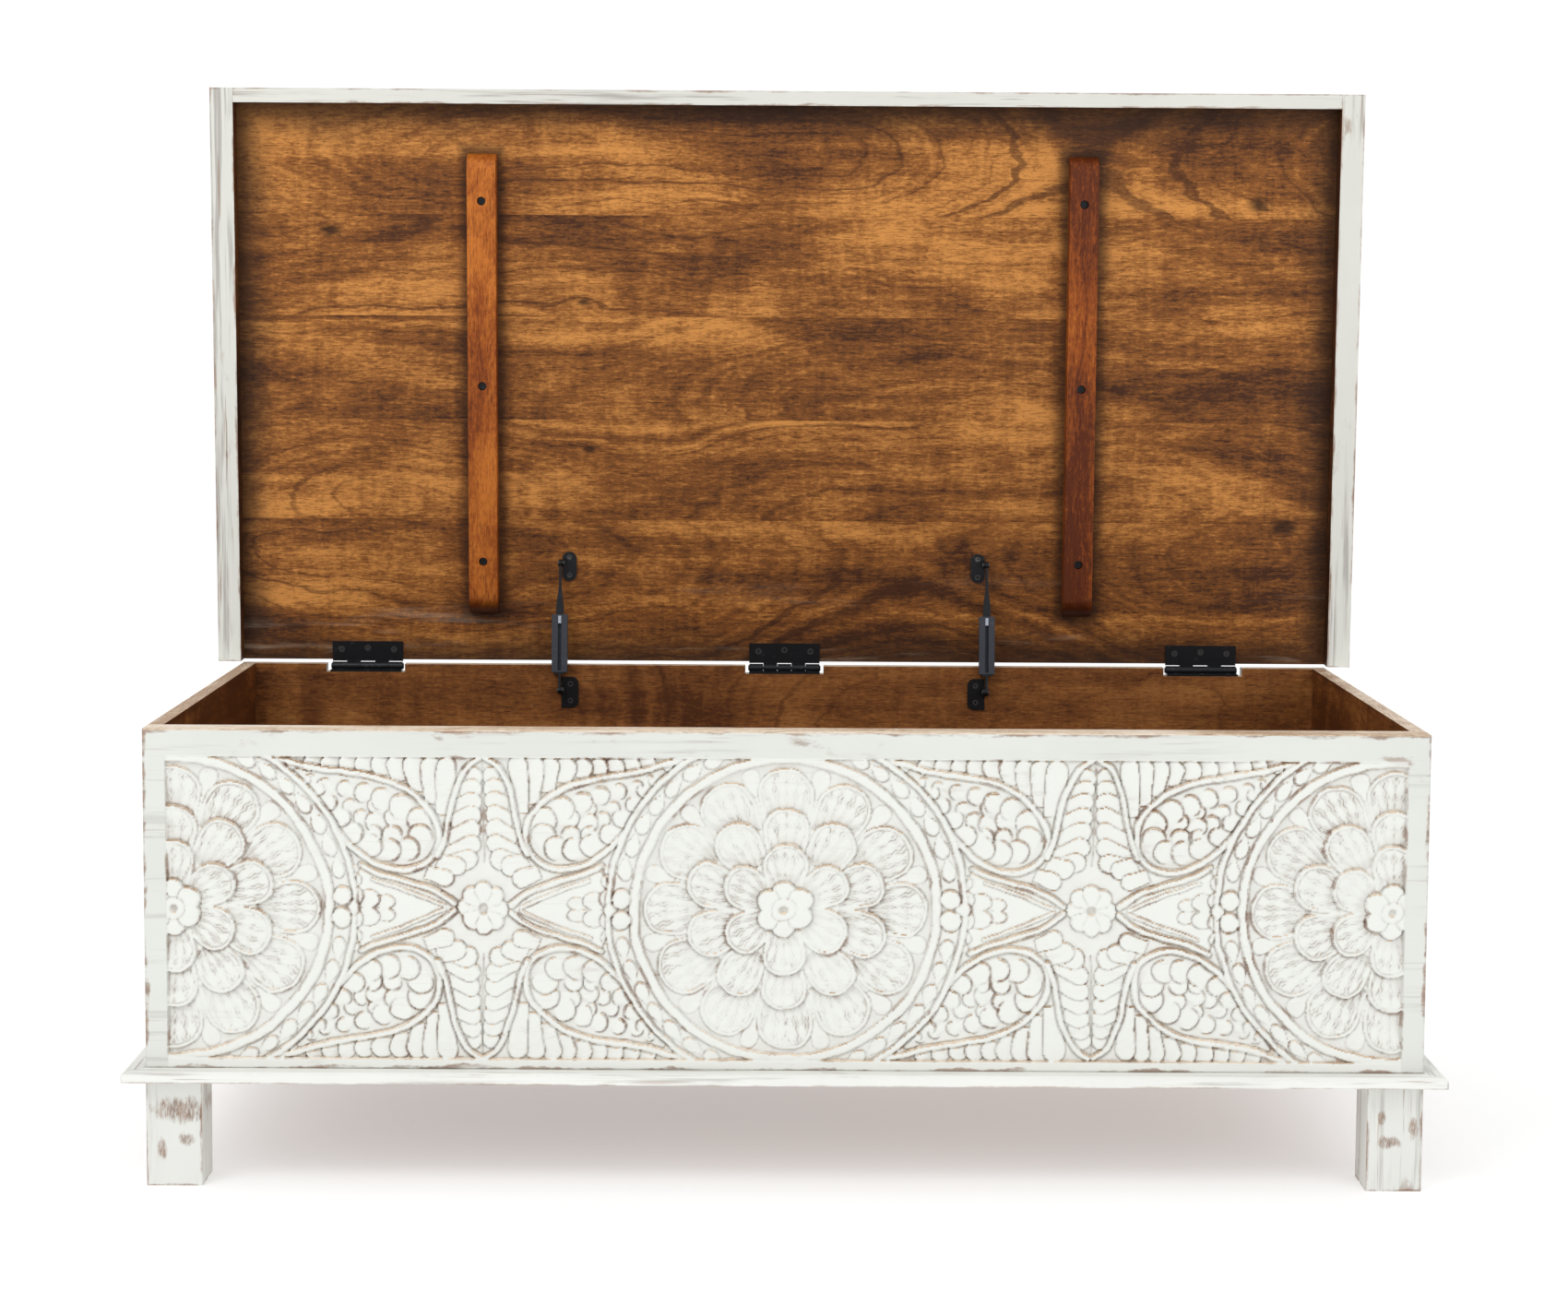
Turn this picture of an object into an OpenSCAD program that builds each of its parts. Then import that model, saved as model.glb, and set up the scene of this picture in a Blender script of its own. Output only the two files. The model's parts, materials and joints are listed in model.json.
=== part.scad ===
// Storage bench: a carved chest on four legs with a hinged tray lid.
// Millimetres, +Z up, +X to the right, +Y to the back. The origin lies on the floor, under the
// centre of the chest. The lid is drawn held open by its two stays.

/* [Chest] */
// Width of the chest, outside the side panels
body_w = 1150; // [960:10:1400]
// Depth of the chest, outside the front and back panels
body_d = 588; // [490:2:720]
// Height of the front, back and side panels
panel_h = 307; // [240:1:380]
// Thickness of the carved front panel
front_t = 32; // [26:1:38]
// Thickness of the side panels
side_t = 14; // [12:1:20]
// Thickness of the back panel
back_t = 15; // [13:1:20]
// Thickness of the bottom board
floor_t = 12; // [9:1:18]

/* [Base] */
// Height of the legs, below the plinth
leg_h = 98; // [60:1:160]
// Width of a leg, along the front
leg_w = 50; // [40:1:80]
// Depth of a leg, front to back
leg_d = 55; // [50:1:80]
// Thickness of the plinth strips
plinth_t = 10; // [8:1:20]
// Width of a plinth strip
plinth_w = 62; // [50:1:80]
// How far the plinth stands out beyond the chest
plinth_out = 19; // [8:1:25]
// Bevel on the plinth's upper edge
plinth_bevel = 3; // [1:0.5:5]

/* [Lid] */
// Thickness of the lid boards
lid_t = 20; // [16:1:28]
// How far the rails hang below the lid's underside
rail_drop = 22; // [12:1:30]
// Thickness of the side rails
side_rail_t = 24; // [16:1:30]
// Thickness of the front rail
front_rail_t = 15; // [12:1:30]
// Gap between the rails and the chest
rail_gap = 1; // [0.5:0.25:3]
// Gap between the closed lid and the chest's rim
seat_gap = 0.5; // [0.3:0.1:1.5]
// Angle at which the stays hold the lid open
lid_angle = 88; // [80:1:92]
// Width of a lid batten
batten_w = 30; // [24:1:40]
// Thickness of a lid batten
batten_t = 22; // [18:1:26]
// Distance of the left batten from the lid's middle
batten_left_x = 319; // [270:1:380]
// Distance of the right batten from the lid's middle
batten_right_x = 310; // [270:1:380]
// Gap from a batten's ends to the lid's edges
batten_inset = 51; // [44:1:80]

/* [Hinges] */
// Length of a hinge
hinge_len = 75; // [60:1:100]
// Distance of the outer hinges from the middle one
hinge_x = 444; // [400:1:460]
// Radius of the hinge barrel
knuckle_r = 4.5; // [4:0.25:6]
// Radius of the hinge pin
hinge_pin_r = 2; // [1.5:0.25:2.5]
// Thickness of a hinge leaf
leaf_t = 2; // [1.5:0.25:2.5]
// Reach of the lid's leaf, from the pin's axis
lid_leaf_w = 26; // [22:1:34]

/* [Lid stays] */
// Place of the left stay's arm along the lid
stay_left_x = -238; // [-260:1:-150]
// Place of the right stay's arm along the lid
stay_right_x = 214; // [150:1:260]
// Distance of a stay's lid pivot from the hinge axis, along the lid
lid_pivot_u = 112; // [104:1:130]
// Distance of the lid pivot from the lid's underside
lid_pivot_h = 12; // [10:0.5:16]
// Depth of a stay's base pivot below the rim
base_pivot_drop = 26; // [22:0.5:32]
// Gap between a stay's housing and the back panel, at the base pivot
base_pivot_gap = 5; // [4:0.5:9]
// Width of a stay's housing
housing_w = 16.5; // [14:0.5:20]
// Depth of a stay's housing
housing_d = 10; // [9:0.5:12]

/* [Carving] */
// Depth of the sunk field around the carving
field_depth = 5; // [3:0.5:7]
// Radius of a carved roundel
roundel_r = 128; // [90:1:140]

/* [Hidden] */
$fn = 48;
eps = 0.01;
WOOD_WHITE = [0.90, 0.90, 0.87];
WOOD_BROWN = [0.42, 0.24, 0.11];
WOOD_RED = [0.40, 0.16, 0.07];
WOOD_PALE = [0.72, 0.56, 0.38];
BLACK_METAL = [0.07, 0.07, 0.08];
STEEL = [0.55, 0.55, 0.57];
NYLON = [0.80, 0.84, 0.88];

// Heights and edges of the chest
chest_z = leg_h + plinth_t;
rim_z = chest_z + panel_h;
x_out = body_w / 2;
x_in = x_out - side_t;
y_front = -body_d / 2;
y_front_in = y_front + front_t;
y_back = body_d / 2;
y_back_in = y_back - back_t;
side_len = y_back_in - y_front_in;

// Hinge axis: the barrel lies in a notch through the back panel's top edge
hinge_out = 3;
hinge_y = y_back + hinge_out;
hinge_z = rim_z + seat_gap - knuckle_r;
notch_z = hinge_z - knuckle_r;
notch_gap = 4;
knuckles = 5;
knuckle_gap = 0.3;
pin_clearance = 0.05;
pin_head_t = 1.2;
hinge_xs = [-hinge_x, 0, hinge_x];

// Lid, drawn closed and then turned about the hinge axis
lid_setback = 6.5;
lid_y_rear = hinge_y - lid_setback;
lid_z = rim_z + seat_gap;
lid_x_in = x_out + rail_gap;
lid_w = 2 * (lid_x_in + side_rail_t);
lid_y_in = y_front - rail_gap;
lid_y_front = lid_y_in - front_rail_t;
panel_d = lid_y_rear - lid_y_in;
// Seams between the boards, as shares of the panel's depth from its rear edge, to the nearest 0.1 mm
seams = [for (share = [0, 0.257, 0.439, 0.624, 0.805, 1]) round(share * panel_d * 10) / 10];
board_count = len(seams) - 1;

// Battens
batten_y0 = lid_y_rear - batten_inset;
batten_y1 = lid_y_in + batten_inset;
batten_len = batten_y0 - batten_y1;
batten_end_r = 18;
// Screws stand clear of the boards' seams
screw_before_seam = 43;
screw_past_seam = 14;
counterbore_r = 4.5;
counterbore_h = 8;
batten_screw_ys = [
    lid_y_rear - seams[1] + screw_before_seam,
    lid_y_rear - panel_d / 2,
    lid_y_rear - seams[board_count - 1] - screw_past_seam
];

// Screws: radius of the head, radius of the shank, length
leaf_screw = [3.4, 1.6, 12];
stay_screw = [3.0, 1.5, 11];
leg_screw = [4.6, 2.2, 60];
batten_screw_r = 2;
batten_screw_len = batten_t - counterbore_h + 14;
screw_clearance = 0.05;

// Dowels
dowel_r = 3;
dowel_in_back = 9;
dowel_in_front = 16;
dowel_in_side = 26;
dowel_zs = [for (k = [0.15, 0.5, 0.85]) chest_z + k * panel_h];
rail_dowel_r = 4;
rail_dowel_in_rail = 12;
rail_dowel_in_board = 26;
front_dowel_in_rail = 9;
front_dowel_xs = [for (k = [-0.42, -0.14, 0.14, 0.42]) k * body_w];
dowel_clearance = 0.05;

// Lid stays: base pivot, and the lid pivot with the lid closed and open
base_pivot = [y_back_in - housing_d / 2 - base_pivot_gap, rim_z - base_pivot_drop];
lid_pivot_closed = [-lid_pivot_u, knuckle_r - lid_pivot_h];
lid_pivot_open = [
    hinge_y + lid_pivot_closed[0] * cos(lid_angle) + lid_pivot_closed[1] * sin(lid_angle),
    hinge_z - lid_pivot_closed[0] * sin(lid_angle) + lid_pivot_closed[1] * cos(lid_angle)
];
stay_open = lid_pivot_open - base_pivot;
stay_closed = [hinge_y, hinge_z] + lid_pivot_closed - base_pivot;
stay_len = norm(stay_open);
stay_travel = stay_len - norm(stay_closed);
stay_tilt = atan2(stay_open[0], stay_open[1]);
stay_swing = atan2(-stay_closed[0], stay_closed[1]) + stay_tilt;

eye_r = 4.2;
link_t = 2.5;
link_play = 0.1;
ear_gap = 0.3;
ear_t = 2;
ear_x = link_t / 2 + ear_gap;
rivet_r = 2;
rivet_head_r = 3.2;
rivet_head_t = 1.2;
plate_t = 2;
base_plate = [18, 33];
lid_plate = [15, 31];
lid_plate_lead = 11;
housing_wall = 1.2;
shoe_len = 8;
shoe_gap = 0.2;
shoe_lip = 1.5;
shoe_run_out = 1;
slot_w = 3.6;
// Housing and shoe, measured along the stay from the base pivot
housing_z1 = stay_len - stay_travel - eye_r - 0.8;
shoe_z1 = housing_z1 - shoe_lip;
shoe_z0 = shoe_z1 - shoe_len;
slot_z0 = shoe_z0 - stay_travel - shoe_run_out / 2;
housing_z0 = shoe_z0 - stay_travel - shoe_run_out - housing_wall;
tenon = 4;
shank_w = 8;
shank_d = 6;
bar_d = 6.4;
neck_flange_t = 2;
neck_post_r = 1.5;

// Carved field of the front panel
field_side = 20;
field_top = 24;
field_bottom = 9;
field_w = body_w - 2 * field_side;
field_h = panel_h - field_top - field_bottom;
field_z = chest_z + field_bottom + field_h / 2;
roundel_pitch = field_w / 2 - 6;
// Tiers of a roundel, from the rim to the heart: petals, ring radius, petal radius, height
tiers = [[16, 0.84, 0.165, 0.25], [12, 0.62, 0.165, 0.45], [10, 0.42, 0.14, 0.62], [8, 0.24, 0.105, 0.80]];
rosette_pitch = field_w / 4 - 3;

echo(hinge_axis = [0, hinge_y, hinge_z], base_pivot = base_pivot, lid_pivot = lid_pivot_open);
echo(stay_len = stay_len, stay_travel = stay_travel, stay_tilt = stay_tilt, stay_swing = stay_swing);
echo(lid_w = lid_w, lid_d = lid_y_rear - lid_y_front, rim_z = rim_z);

// ---------- helpers ----------

// A box from its lowest to its highest corner
module span(low, high) {
    translate(low) cube(high - low);
}

// Turns what is drawn on the closed lid to where the open lid holds it
module on_open_lid() {
    translate([0, hinge_y, hinge_z])
        rotate([-lid_angle, 0, 0])
            translate([0, -hinge_y, -hinge_z])
                children();
}

// A stay is drawn for the left side, around its arm; the right one is its mirror image
module at_stay(side) {
    translate([side < 0 ? stay_left_x : stay_right_x, 0, 0])
        mirror([side < 0 ? 0 : 1, 0, 0])
            children();
}

// Frame of a stay: origin at the base pivot, +Z towards the lid pivot
module along_stay(side) {
    at_stay(side)
        translate([0, base_pivot[0], base_pivot[1]])
            rotate([-stay_tilt, 0, 0])
                children();
}

// A rod along X from x0 to x1
module x_rod(r, x0, x1) {
    translate([x0, 0, 0]) rotate([0, 90, 0]) cylinder(r = r, h = x1 - x0);
}

// The same, with a flat head beyond each end
module headed_rod(r, head_r, head_t, x0, x1) {
    x_rod(r, x0, x1);
    x_rod(head_r, x0 - head_t, x0);
    x_rod(head_r, x1, x1 + head_t);
}

// A countersunk screw: top of its head at the origin, pointing down
module screw(size) {
    head_h = size[0] - size[1];
    difference() {
        union() {
            translate([0, 0, -head_h]) cylinder(r1 = size[1], r2 = size[0], h = head_h);
            translate([0, 0, -size[2]]) cylinder(r = size[1], h = size[2] - head_h + eps);
        }
        for (a = [0, 90])
            rotate([0, 0, a])
                span([-size[0] * 0.55, -0.35, -0.9], [size[0] * 0.55, 0.35, 1]);
    }
}

// The hole that a countersunk screw needs, a clearance wider all round
module screw_hole(size) {
    head_h = size[0] - size[1];
    shank = size[1] + screw_clearance;
    translate([0, 0, -head_h - screw_clearance])
        cylinder(r1 = shank, r2 = size[0] + screw_clearance, h = head_h);
    translate([0, 0, -screw_clearance - eps])
        cylinder(r = size[0] + screw_clearance, h = screw_clearance + 1);
    translate([0, 0, -size[2] - screw_clearance])
        cylinder(r = shank, h = size[2]);
}

// ---------- chest ----------

// Two screws down through the bottom board into each leg
function leg_screw_points() = [
    for (sx = [-1, 1], sy = [-1, 1], k = [0, 1])
        [
            sx * (x_in - 9 - k * (leg_w - side_t) * 0.42),
            sy < 0 ? y_front_in + 8 : y_back_in - (leg_d - back_t) / 2,
            chest_z + floor_t
        ]
];

module leg_screw_holes() {
    for (p = leg_screw_points())
        translate(p) screw_hole(leg_screw);
}

// Dowels through the four corners of the chest, along Y; gap widens them into their holes
module corner_dowels(gap = 0) {
    for (sx = [-1, 1], z = dowel_zs) {
        translate([sx * (x_out - side_t / 2), y_front_in - dowel_in_front - gap, z])
            rotate([-90, 0, 0])
                cylinder(r = dowel_r + gap, h = dowel_in_front + dowel_in_side + 2 * gap);
        translate([sx * (x_out - side_t / 2), y_back_in - dowel_in_side - gap, z])
            rotate([-90, 0, 0])
                cylinder(r = dowel_r + gap, h = dowel_in_back + dowel_in_side + 2 * gap);
    }
}

// Outline of one scalloped tier of a roundel
module tier_outline(tier) {
    circle(r = roundel_r * tier[1]);
    for (i = [0:tier[0] - 1])
        rotate(360 / tier[0] * (i + 0.5))
            translate([roundel_r * tier[1], 0])
                circle(r = roundel_r * tier[2]);
}

// A roundel of stacked tiers, growing towards the front from the bottom of the sunk field
module roundel() {
    for (tier = tiers)
        linear_extrude(height = field_depth * tier[3]) tier_outline(tier);
    linear_extrude(height = field_depth * 0.95) circle(r = roundel_r * 0.09);
}

// The small eight-petalled flower between two roundels
module small_flower() {
    for (i = [0:7])
        rotate(45 * i)
            translate([14, 0])
                cylinder(r = 6, h = field_depth * 0.7);
    cylinder(r = 13, h = field_depth * 0.6);
    cylinder(r = 5, h = field_depth * 0.9);
}

module front_panel() {
    color(WOOD_WHITE)
        difference() {
            union() {
                difference() {
                    span([-x_out, y_front, chest_z], [x_out, y_front_in, rim_z]);
                    span([-field_w / 2, y_front - 1, field_z - field_h / 2],
                        [field_w / 2, y_front + field_depth, field_z + field_h / 2]);
                }
                intersection() {
                    span([-field_w / 2, y_front, field_z - field_h / 2],
                        [field_w / 2, y_front + field_depth + 1, field_z + field_h / 2]);
                    translate([0, y_front + field_depth, field_z])
                        rotate([90, 0, 0])
                            union() {
                                for (k = [-1, 0, 1])
                                    translate([k * roundel_pitch, 0, 0]) roundel();
                                for (k = [-1, 1])
                                    translate([k * rosette_pitch, 0, 0]) small_flower();
                            }
                }
            }
            corner_dowels(dowel_clearance);
        }
}

module back_panel() {
    color(WOOD_WHITE)
        difference() {
            span([-x_out, y_back_in, chest_z], [x_out, y_back, rim_z]);
            for (x = hinge_xs)
                span([x - hinge_len / 2 - notch_gap, y_back_in - 1, notch_z],
                    [x + hinge_len / 2 + notch_gap, y_back + 1, rim_z + 1]);
            corner_dowels(dowel_clearance);
            body_leaf_screws_at() screw_hole(leaf_screw);
            base_screws_at() screw_hole(stay_screw);
        }
}

module side_panel(side) {
    color(WOOD_WHITE)
        difference() {
            span([side < 0 ? -x_out : x_in, y_front_in, chest_z], [side < 0 ? -x_in : x_out, y_back_in, rim_z]);
            corner_dowels(dowel_clearance);
        }
}

module bottom_board() {
    color(WOOD_BROWN)
        difference() {
            span([-x_in, y_front_in, chest_z], [x_in, y_back_in, chest_z + floor_t]);
            leg_screw_holes();
        }
}

// Profile of a plinth strip: outer edge at x = 0, width towards -x
module plinth_profile() {
    polygon([
        [-plinth_w, 0], [0, 0], [0, plinth_t - plinth_bevel],
        [-plinth_bevel, plinth_t], [-plinth_w, plinth_t]
    ]);
}

// A mitred strip whose outer edge is `length` long, centred on the origin, facing -Y
module plinth_strip(length) {
    difference() {
        rotate([90, 0, -90])
            translate([0, 0, -length / 2])
                linear_extrude(height = length)
                    plinth_profile();
        for (s = [-1, 1])
            translate([s * length / 2, 0, 0])
                rotate([0, 0, s * 45])
                    translate([s < 0 ? -2 * plinth_w : 0, -2 * plinth_w, -1])
                        cube([2 * plinth_w, 4 * plinth_w, plinth_t + 2]);
    }
}

// Places a strip along one edge of the base: turn 0 front, 90 right, 180 back, 270 left
module plinth(turn) {
    along_front = turn % 180 == 0;
    length = (along_front ? body_w : body_d) + 2 * plinth_out;
    away = (along_front ? body_d : body_w) / 2 + plinth_out;
    color(WOOD_WHITE)
        difference() {
            rotate([0, 0, turn])
                translate([0, -away, leg_h])
                    plinth_strip(length);
            leg_screw_holes();
        }
}

module leg(sx, sy) {
    color(WOOD_WHITE)
        difference() {
            span([sx < 0 ? -x_out : x_out - leg_w, sy < 0 ? y_front : y_back - leg_d, 0],
                [sx < 0 ? -x_out + leg_w : x_out, sy < 0 ? y_front + leg_d : y_back, leg_h]);
            leg_screw_holes();
        }
}

module leg_screws() {
    color(STEEL)
        for (p = leg_screw_points())
            translate(p) screw(leg_screw);
}

module carcass_dowels() {
    color(WOOD_PALE) corner_dowels();
}

// ---------- lid, drawn closed ----------

// Dowels that join the rails to the lid boards; gap widens them into their holes
module lid_dowels(gap = 0) {
    for (i = [0:board_count - 1], s = [-1, 1])
        translate([s * (lid_x_in + rail_dowel_in_rail + gap), lid_y_rear - (seams[i] + seams[i + 1]) / 2,
                   lid_z + lid_t / 2])
            rotate([0, -90 * s, 0])
                cylinder(r = rail_dowel_r + gap, h = rail_dowel_in_rail + rail_dowel_in_board + 2 * gap);
    for (x = front_dowel_xs)
        translate([x, lid_y_in - front_dowel_in_rail - gap, lid_z + lid_t / 2])
            rotate([-90, 0, 0])
                cylinder(r = rail_dowel_r + gap, h = front_dowel_in_rail + rail_dowel_in_board + 2 * gap);
}

// Puts a screw or its hole at each place on the lid's underside, pointing up into the boards
module lid_screws_at() {
    for (x = hinge_xs, k = [-1, 0, 1])
        translate([x + k * hinge_len * 0.37, hinge_y - lid_leaf_w + 7 + abs(k) * 1.5, lid_z - leaf_t])
            rotate([180, 0, 0]) children();
}

module stay_lid_screws_at() {
    for (side = [-1, 1])
        at_stay(side)
            for (k = [0, 1])
                translate([ear_x + lid_plate[0] / 2,
                           hinge_y - lid_pivot_u - lid_plate_lead + (k == 0 ? 6 : lid_plate[1] - 6),
                           lid_z - plate_t])
                    rotate([180, 0, 0]) children();
}

module batten_screws_at() {
    for (x = [-batten_left_x, batten_right_x], y = batten_screw_ys)
        translate([x, y, lid_z - batten_t + counterbore_h])
            children();
}

module batten_screw() {
    difference() {
        union() {
            translate([0, 0, -2.4]) cylinder(r = 3.8, h = 2.4);
            translate([0, 0, -eps]) cylinder(r = batten_screw_r, h = batten_screw_len);
        }
        for (a = [0, 90])
            rotate([0, 0, a])
                span([-2.4, -0.4, -3], [2.4, 0.4, -1.2]);
    }
}

module lid_board(i) {
    color(WOOD_BROWN)
        on_open_lid()
            difference() {
                span([-lid_x_in, lid_y_rear - seams[i + 1], lid_z], [lid_x_in, lid_y_rear - seams[i], lid_z + lid_t]);
                lid_dowels(dowel_clearance);
                lid_screws_at() screw_hole(leaf_screw);
                stay_lid_screws_at() screw_hole(stay_screw);
                batten_screws_at()
                    cylinder(r = batten_screw_r + screw_clearance, h = batten_screw_len + screw_clearance);
            }
}

module lid_rail_side(side) {
    color(WOOD_WHITE)
        on_open_lid()
            difference() {
                span([side < 0 ? -lid_w / 2 : lid_x_in, lid_y_front, lid_z - rail_drop],
                    [side < 0 ? -lid_x_in : lid_w / 2, lid_y_rear, lid_z + lid_t]);
                lid_dowels(dowel_clearance);
            }
}

module lid_rail_front() {
    color(WOOD_WHITE)
        on_open_lid()
            difference() {
                span([-lid_x_in, lid_y_front, lid_z - rail_drop], [lid_x_in, lid_y_in, lid_z + lid_t]);
                lid_dowels(dowel_clearance);
            }
}

module rail_dowels() {
    color(WOOD_PALE) on_open_lid() lid_dowels();
}

// Side view of a batten, its flat face up and its ends rounded off below
module batten_outline() {
    difference() {
        translate([-batten_len / 2, -batten_t]) square([batten_len, batten_t]);
        for (s = [-1, 1])
            translate([s * (batten_len / 2 - batten_end_r), batten_end_r - batten_t])
                difference() {
                    translate([s < 0 ? -batten_end_r - 1 : 0, -batten_end_r - 1])
                        square([batten_end_r + 1, batten_end_r + 1]);
                    circle(r = batten_end_r);
                }
    }
}

module lid_batten(side) {
    color(WOOD_RED)
        on_open_lid()
            difference() {
                translate([(side < 0 ? -batten_left_x : batten_right_x) - batten_w / 2, (batten_y0 + batten_y1) / 2, lid_z])
                    rotate([90, 0, 90])
                        linear_extrude(height = batten_w) batten_outline();
                batten_screws_at()
                    translate([0, 0, -counterbore_h - 1])
                        cylinder(r = counterbore_r, h = counterbore_h + 1);
                batten_screws_at()
                    translate([0, 0, -1])
                        cylinder(r = batten_screw_r + screw_clearance, h = batten_t);
            }
}

module batten_screws() {
    color(STEEL) on_open_lid() batten_screws_at() batten_screw();
}

// ---------- hinges ----------

// Where knuckle k of a hinge starts and ends along X, from the hinge's middle
function knuckle_x(k) = (k - knuckles / 2) * hinge_len / knuckles;

// The barrel pieces of one leaf: the chest's leaf holds the even ones, the lid's the odd ones
module knuckle_barrels(first) {
    for (k = [first:2:knuckles - 1])
        translate([knuckle_x(k) + knuckle_gap / 2, 0, 0])
            rotate([0, 90, 0])
                cylinder(r = knuckle_r, h = hinge_len / knuckles - knuckle_gap);
}

// A flat leaf tangent to the barrel: reaches `reach` from the axis, on its upper (1) or lower (-1) side
module leaf(first, reach, up) {
    low = up > 0 ? knuckle_r - leaf_t : -knuckle_r;
    difference() {
        union() {
            knuckle_barrels(first);
            for (k = [first:2:knuckles - 1])
                span([knuckle_x(k) + knuckle_gap / 2, -knuckle_r - 1, low],
                    [knuckle_x(k + 1) - knuckle_gap / 2, 0, low + leaf_t]);
            span([-hinge_len / 2, -reach, low], [hinge_len / 2, -knuckle_r - 0.4, low + leaf_t]);
        }
        translate([-hinge_len / 2 - 1, 0, 0])
            rotate([0, 90, 0])
                cylinder(r = hinge_pin_r + pin_clearance, h = hinge_len + 2);
    }
}

module body_leaf_screws_at() {
    for (x = hinge_xs, k = [-1, 0, 1])
        translate([x + k * hinge_len * 0.37, y_back_in + back_t * 0.42, notch_z + leaf_t])
            children();
}

module hinge_body_leaf(i) {
    color(BLACK_METAL)
        difference() {
            translate([hinge_xs[i], hinge_y, hinge_z])
                leaf(0, hinge_out + back_t, -1);
            body_leaf_screws_at() screw_hole(leaf_screw);
        }
}

module hinge_lid_leaf(i) {
    color(BLACK_METAL)
        on_open_lid()
            difference() {
                translate([hinge_xs[i], hinge_y, hinge_z])
                    leaf(1, lid_leaf_w, 1);
                lid_screws_at() screw_hole(leaf_screw);
            }
}

// A rod with a head against each end of the barrel
module hinge_pin(i) {
    half = (hinge_len - knuckle_gap) / 2;
    color(BLACK_METAL)
        translate([hinge_xs[i], hinge_y, hinge_z])
            headed_rod(hinge_pin_r, hinge_pin_r + 1, pin_head_t, -half, half);
}

module hinge_body_screws() {
    color(BLACK_METAL) body_leaf_screws_at() screw(leaf_screw);
}

module hinge_lid_screws() {
    color(BLACK_METAL) on_open_lid() lid_screws_at() screw(leaf_screw);
}

// ---------- lid stays ----------

module base_screws_at() {
    for (side = [-1, 1])
        at_stay(side)
            for (k = [-1, 1])
                translate([ear_x + ear_t + base_plate[0] * 0.42, y_back_in - plate_t,
                           base_pivot[1] - 3 + k * base_plate[1] * 0.27])
                    rotate([90, 0, 0]) children();
}

// A plate with rounded inboard corners, against the back panel, and its ear towards the pivot
module stay_base_bracket(side) {
    corner = 7;
    plate_z = base_pivot[1] - 3;
    color(BLACK_METAL)
        difference() {
            at_stay(side) {
                translate([ear_x, y_back_in, plate_z])
                    rotate([90, 0, 0])
                        linear_extrude(height = plate_t)
                            union() {
                                translate([0, -base_plate[1] / 2]) square([base_plate[0] - corner, base_plate[1]]);
                                translate([0, corner - base_plate[1] / 2])
                                    square([base_plate[0], base_plate[1] - 2 * corner]);
                                for (s = [-1, 1])
                                    translate([base_plate[0] - corner, s * (base_plate[1] / 2 - corner)])
                                        circle(r = corner);
                            }
                difference() {
                    union() {
                        translate([0, base_pivot[0], base_pivot[1]])
                            x_rod(eye_r + 1, ear_x, ear_x + ear_t);
                        span([ear_x, base_pivot[0], base_pivot[1] - eye_r - 1],
                            [ear_x + ear_t, y_back_in - plate_t / 2, base_pivot[1] + eye_r + 1]);
                    }
                    translate([0, base_pivot[0], base_pivot[1]])
                        x_rod(rivet_r + pin_clearance, ear_x - 1, ear_x + ear_t + 1);
                }
            }
            base_screws_at() screw_hole(stay_screw);
        }
}

// The rivet is fast in the bracket's ear, and the neck turns on it
module stay_base_rivet(side) {
    color(BLACK_METAL)
        at_stay(side)
            translate([0, base_pivot[0], base_pivot[1]])
                headed_rod(rivet_r, rivet_head_r, rivet_head_t, -link_t / 2 - link_play, ear_x + ear_t);
}

// The link under the housing, with the eye that turns on the base rivet
module stay_neck(side) {
    color(BLACK_METAL)
        along_stay(side)
            difference() {
                union() {
                    x_rod(eye_r, -link_t / 2, link_t / 2);
                    span([-link_t / 2, -eye_r + 0.5, 0], [link_t / 2, eye_r - 0.5, housing_z0 - eps]);
                    span([-housing_w / 2 + 3, -eye_r + 0.5, housing_z0 - neck_flange_t],
                        [housing_w / 2 - 3, eye_r - 0.5, housing_z0]);
                    translate([0, 0, housing_z0 - neck_flange_t])
                        cylinder(r = neck_post_r, h = neck_flange_t + housing_wall);
                }
                x_rod(rivet_r + pin_clearance, -link_t, link_t);
            }
}

// A sheet-metal box, open at the top, with a long slot in its front for the shoe
module stay_housing(side) {
    color(BLACK_METAL)
        along_stay(side)
            difference() {
                span([-housing_w / 2, -housing_d / 2, housing_z0], [housing_w / 2, housing_d / 2, housing_z1]);
                span([-housing_w / 2 + housing_wall, -housing_d / 2 + housing_wall, housing_z0 + housing_wall],
                    [housing_w / 2 - housing_wall, housing_d / 2 - housing_wall, housing_z1 + 1]);
                span([-slot_w / 2, -housing_d / 2 - 1, slot_z0], [slot_w / 2, 0, shoe_z1 + shoe_gap]);
                translate([0, 0, housing_z0 - 1]) cylinder(r = neck_post_r, h = housing_wall + 2);
            }
}

// The nylon shoe that rubs inside the housing, with a tab in its slot
module stay_shoe(side) {
    half_w = housing_w / 2 - housing_wall - shoe_gap;
    half_d = housing_d / 2 - housing_wall - shoe_gap;
    color(NYLON)
        along_stay(side)
            difference() {
                union() {
                    span([-half_w, -half_d, shoe_z0], [half_w, half_d, shoe_z1]);
                    span([-slot_w / 2 + shoe_gap, -housing_d / 2, shoe_z0], [slot_w / 2 - shoe_gap, 0, shoe_z1]);
                }
                span([-tenon / 2 - shoe_gap / 4, -tenon / 2 - shoe_gap / 4, shoe_z0 - 1],
                    [tenon / 2 + shoe_gap / 4, tenon / 2 + shoe_gap / 4, shoe_z1 + 1]);
            }
}

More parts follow.
